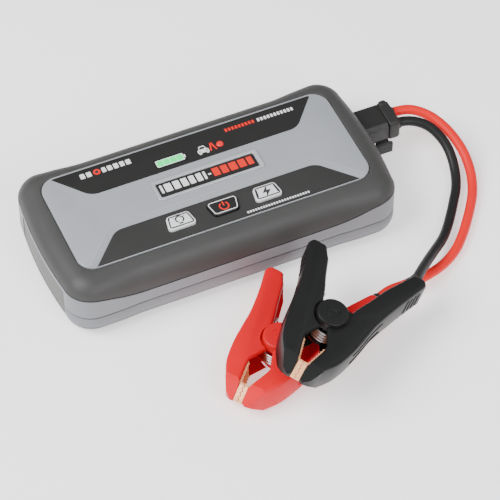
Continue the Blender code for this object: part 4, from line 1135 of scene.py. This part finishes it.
def build_ribs(colour, kind, m):
    """Grip ribs across the outer wall and two long fins, all following its curve."""
    side, end_v = HALVES[kind]
    line = half_parts(end_v)[0]
    made = []

    def add(name, shape, low, high):
        rib = prism(f"{colour}_{name}", mirrored(shape, side), low, high, m[colour])
        made.append(bevelled(rib, 0.15, 2))

    def on_wall(v, out):
        for (u0, v0), (u1, v1) in zip(line, line[1:]):
            if v0 <= v <= v1:
                t = (v - v0) / (v1 - v0)
                normal = Vector((v1 - v0, -(u1 - u0))).normalized()
                return u0 + (u1 - u0) * t + normal.x * out, v + normal.y * out
        return line[-1]

    rows = [end_v - 7.0 - 2.7 * i for i in range(4)]
    for i, v in enumerate(rows):
        section = ((-0.6, -0.6), (-0.45, 0.35), (0.45, 0.35), (0.6, -0.6))
        half = 5.2 if i % 2 else 4.6
        add(f"rib_{side + 1}_{i}", [on_wall(v + dv, out) for dv, out in section], -half, half)
    for i, w in enumerate((-3.4, 3.4)):
        spots = [-12.0 + 2.0 * k for k in range(14)]
        shape = [on_wall(v, 0.4) for v in spots] + [on_wall(v, -0.6) for v in reversed(spots)]
        add(f"fin_{side + 1}_{i}", shape, w - 0.4, w + 0.4)
    return made


def spring_points():
    """Coil round the pivot with one end out along each handle."""
    points = [(15.0, 21.0, -COIL_HALF), (12.9, 15.0, -COIL_HALF)]
    for i in range(COIL_STEPS + 1):
        angle = math.radians(-20.0 - 1220.0 * i / COIL_STEPS)
        w = COIL_HALF * (2 * i / COIL_STEPS - 1)
        points.append((COIL_R * math.cos(angle), COIL_R * math.sin(angle), w))
    return points + [(-9.0, 13.0, COIL_HALF)]


def build_clamp(colour, m):
    matrix = clamp_matrix(colour)

    def half(kind):
        return [
            (build_half(colour, kind, m), colour, f"{colour}_{kind}_handle"),
            (build_jaw(colour, kind, m), "copper", f"{colour}_{kind}_jaw"),
        ]

    fixed = half("cable")
    fixed.append((turned(f"{colour}_cap", CAP, m[colour], 64), colour, f"{colour}_pivot_cap"))
    fixed.append((turned(f"{colour}_pin", PIN, m["steel"]), "steel", f"{colour}_pivot_pin"))
    coil = tube(f"{colour}_coil", spring_points(), COIL_WIRE, m["steel"], 4)
    fixed.append((coil, "steel", f"{colour}_spring"))
    fixed += [(rib, colour, None) for rib in build_ribs(colour, "cable", m)]
    sleeve = turned(f"{colour}_boot", BOOT, m["dark"], 32, looped=True)
    fixed.append((along_handle(sleeve, 25.6, 48.2, -4), "black", None))
    loose = half("free")
    loose += [(rib, colour, None) for rib in build_ribs(colour, "free", m)]
    for group, body in ((fixed, "leads"), (loose, f"{colour}_free")):
        for obj, slot, node in group:
            stand_at(obj, matrix)
            show(obj, body, slot, *([node] if node else []))


# ------------ what stays from the frame
def paint_nodes(m):
    """Finish for the CAD pieces that no visible piece replaces."""
    finish = {"base_pad": "pad", "main_board": "board", "torch_reflector": "steel"}
    patterns = (
        ("battery_cell", "foil"), ("case_screw", "steel"), ("port_liner", "steel"),
        ("sleeve", "brass"), ("contact", "brass"), ("lug", "copper"),
    )
    for name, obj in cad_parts.items():
        chosen = finish.get(name) or next((f for p, f in patterns if p in name), "dark")
        obj.data.materials.clear()
        obj.data.materials.append(m[chosen])


build_room()
looks = all_materials()
corners = at_z(rectangle(-FLOOR_HALF, FLOOR_HALF, -FLOOR_HALF, FLOOR_HALF), 0)
floor = solid("floor", corners, [(0, 1, 2, 3)], looks["floor"])
build_cords(looks)
paint_nodes(looks)
build_case(looks)
build_bezel(looks)
build_face(looks)
build_ends(looks)
for clamp in CLAMPS:
    build_clamp(clamp, looks)
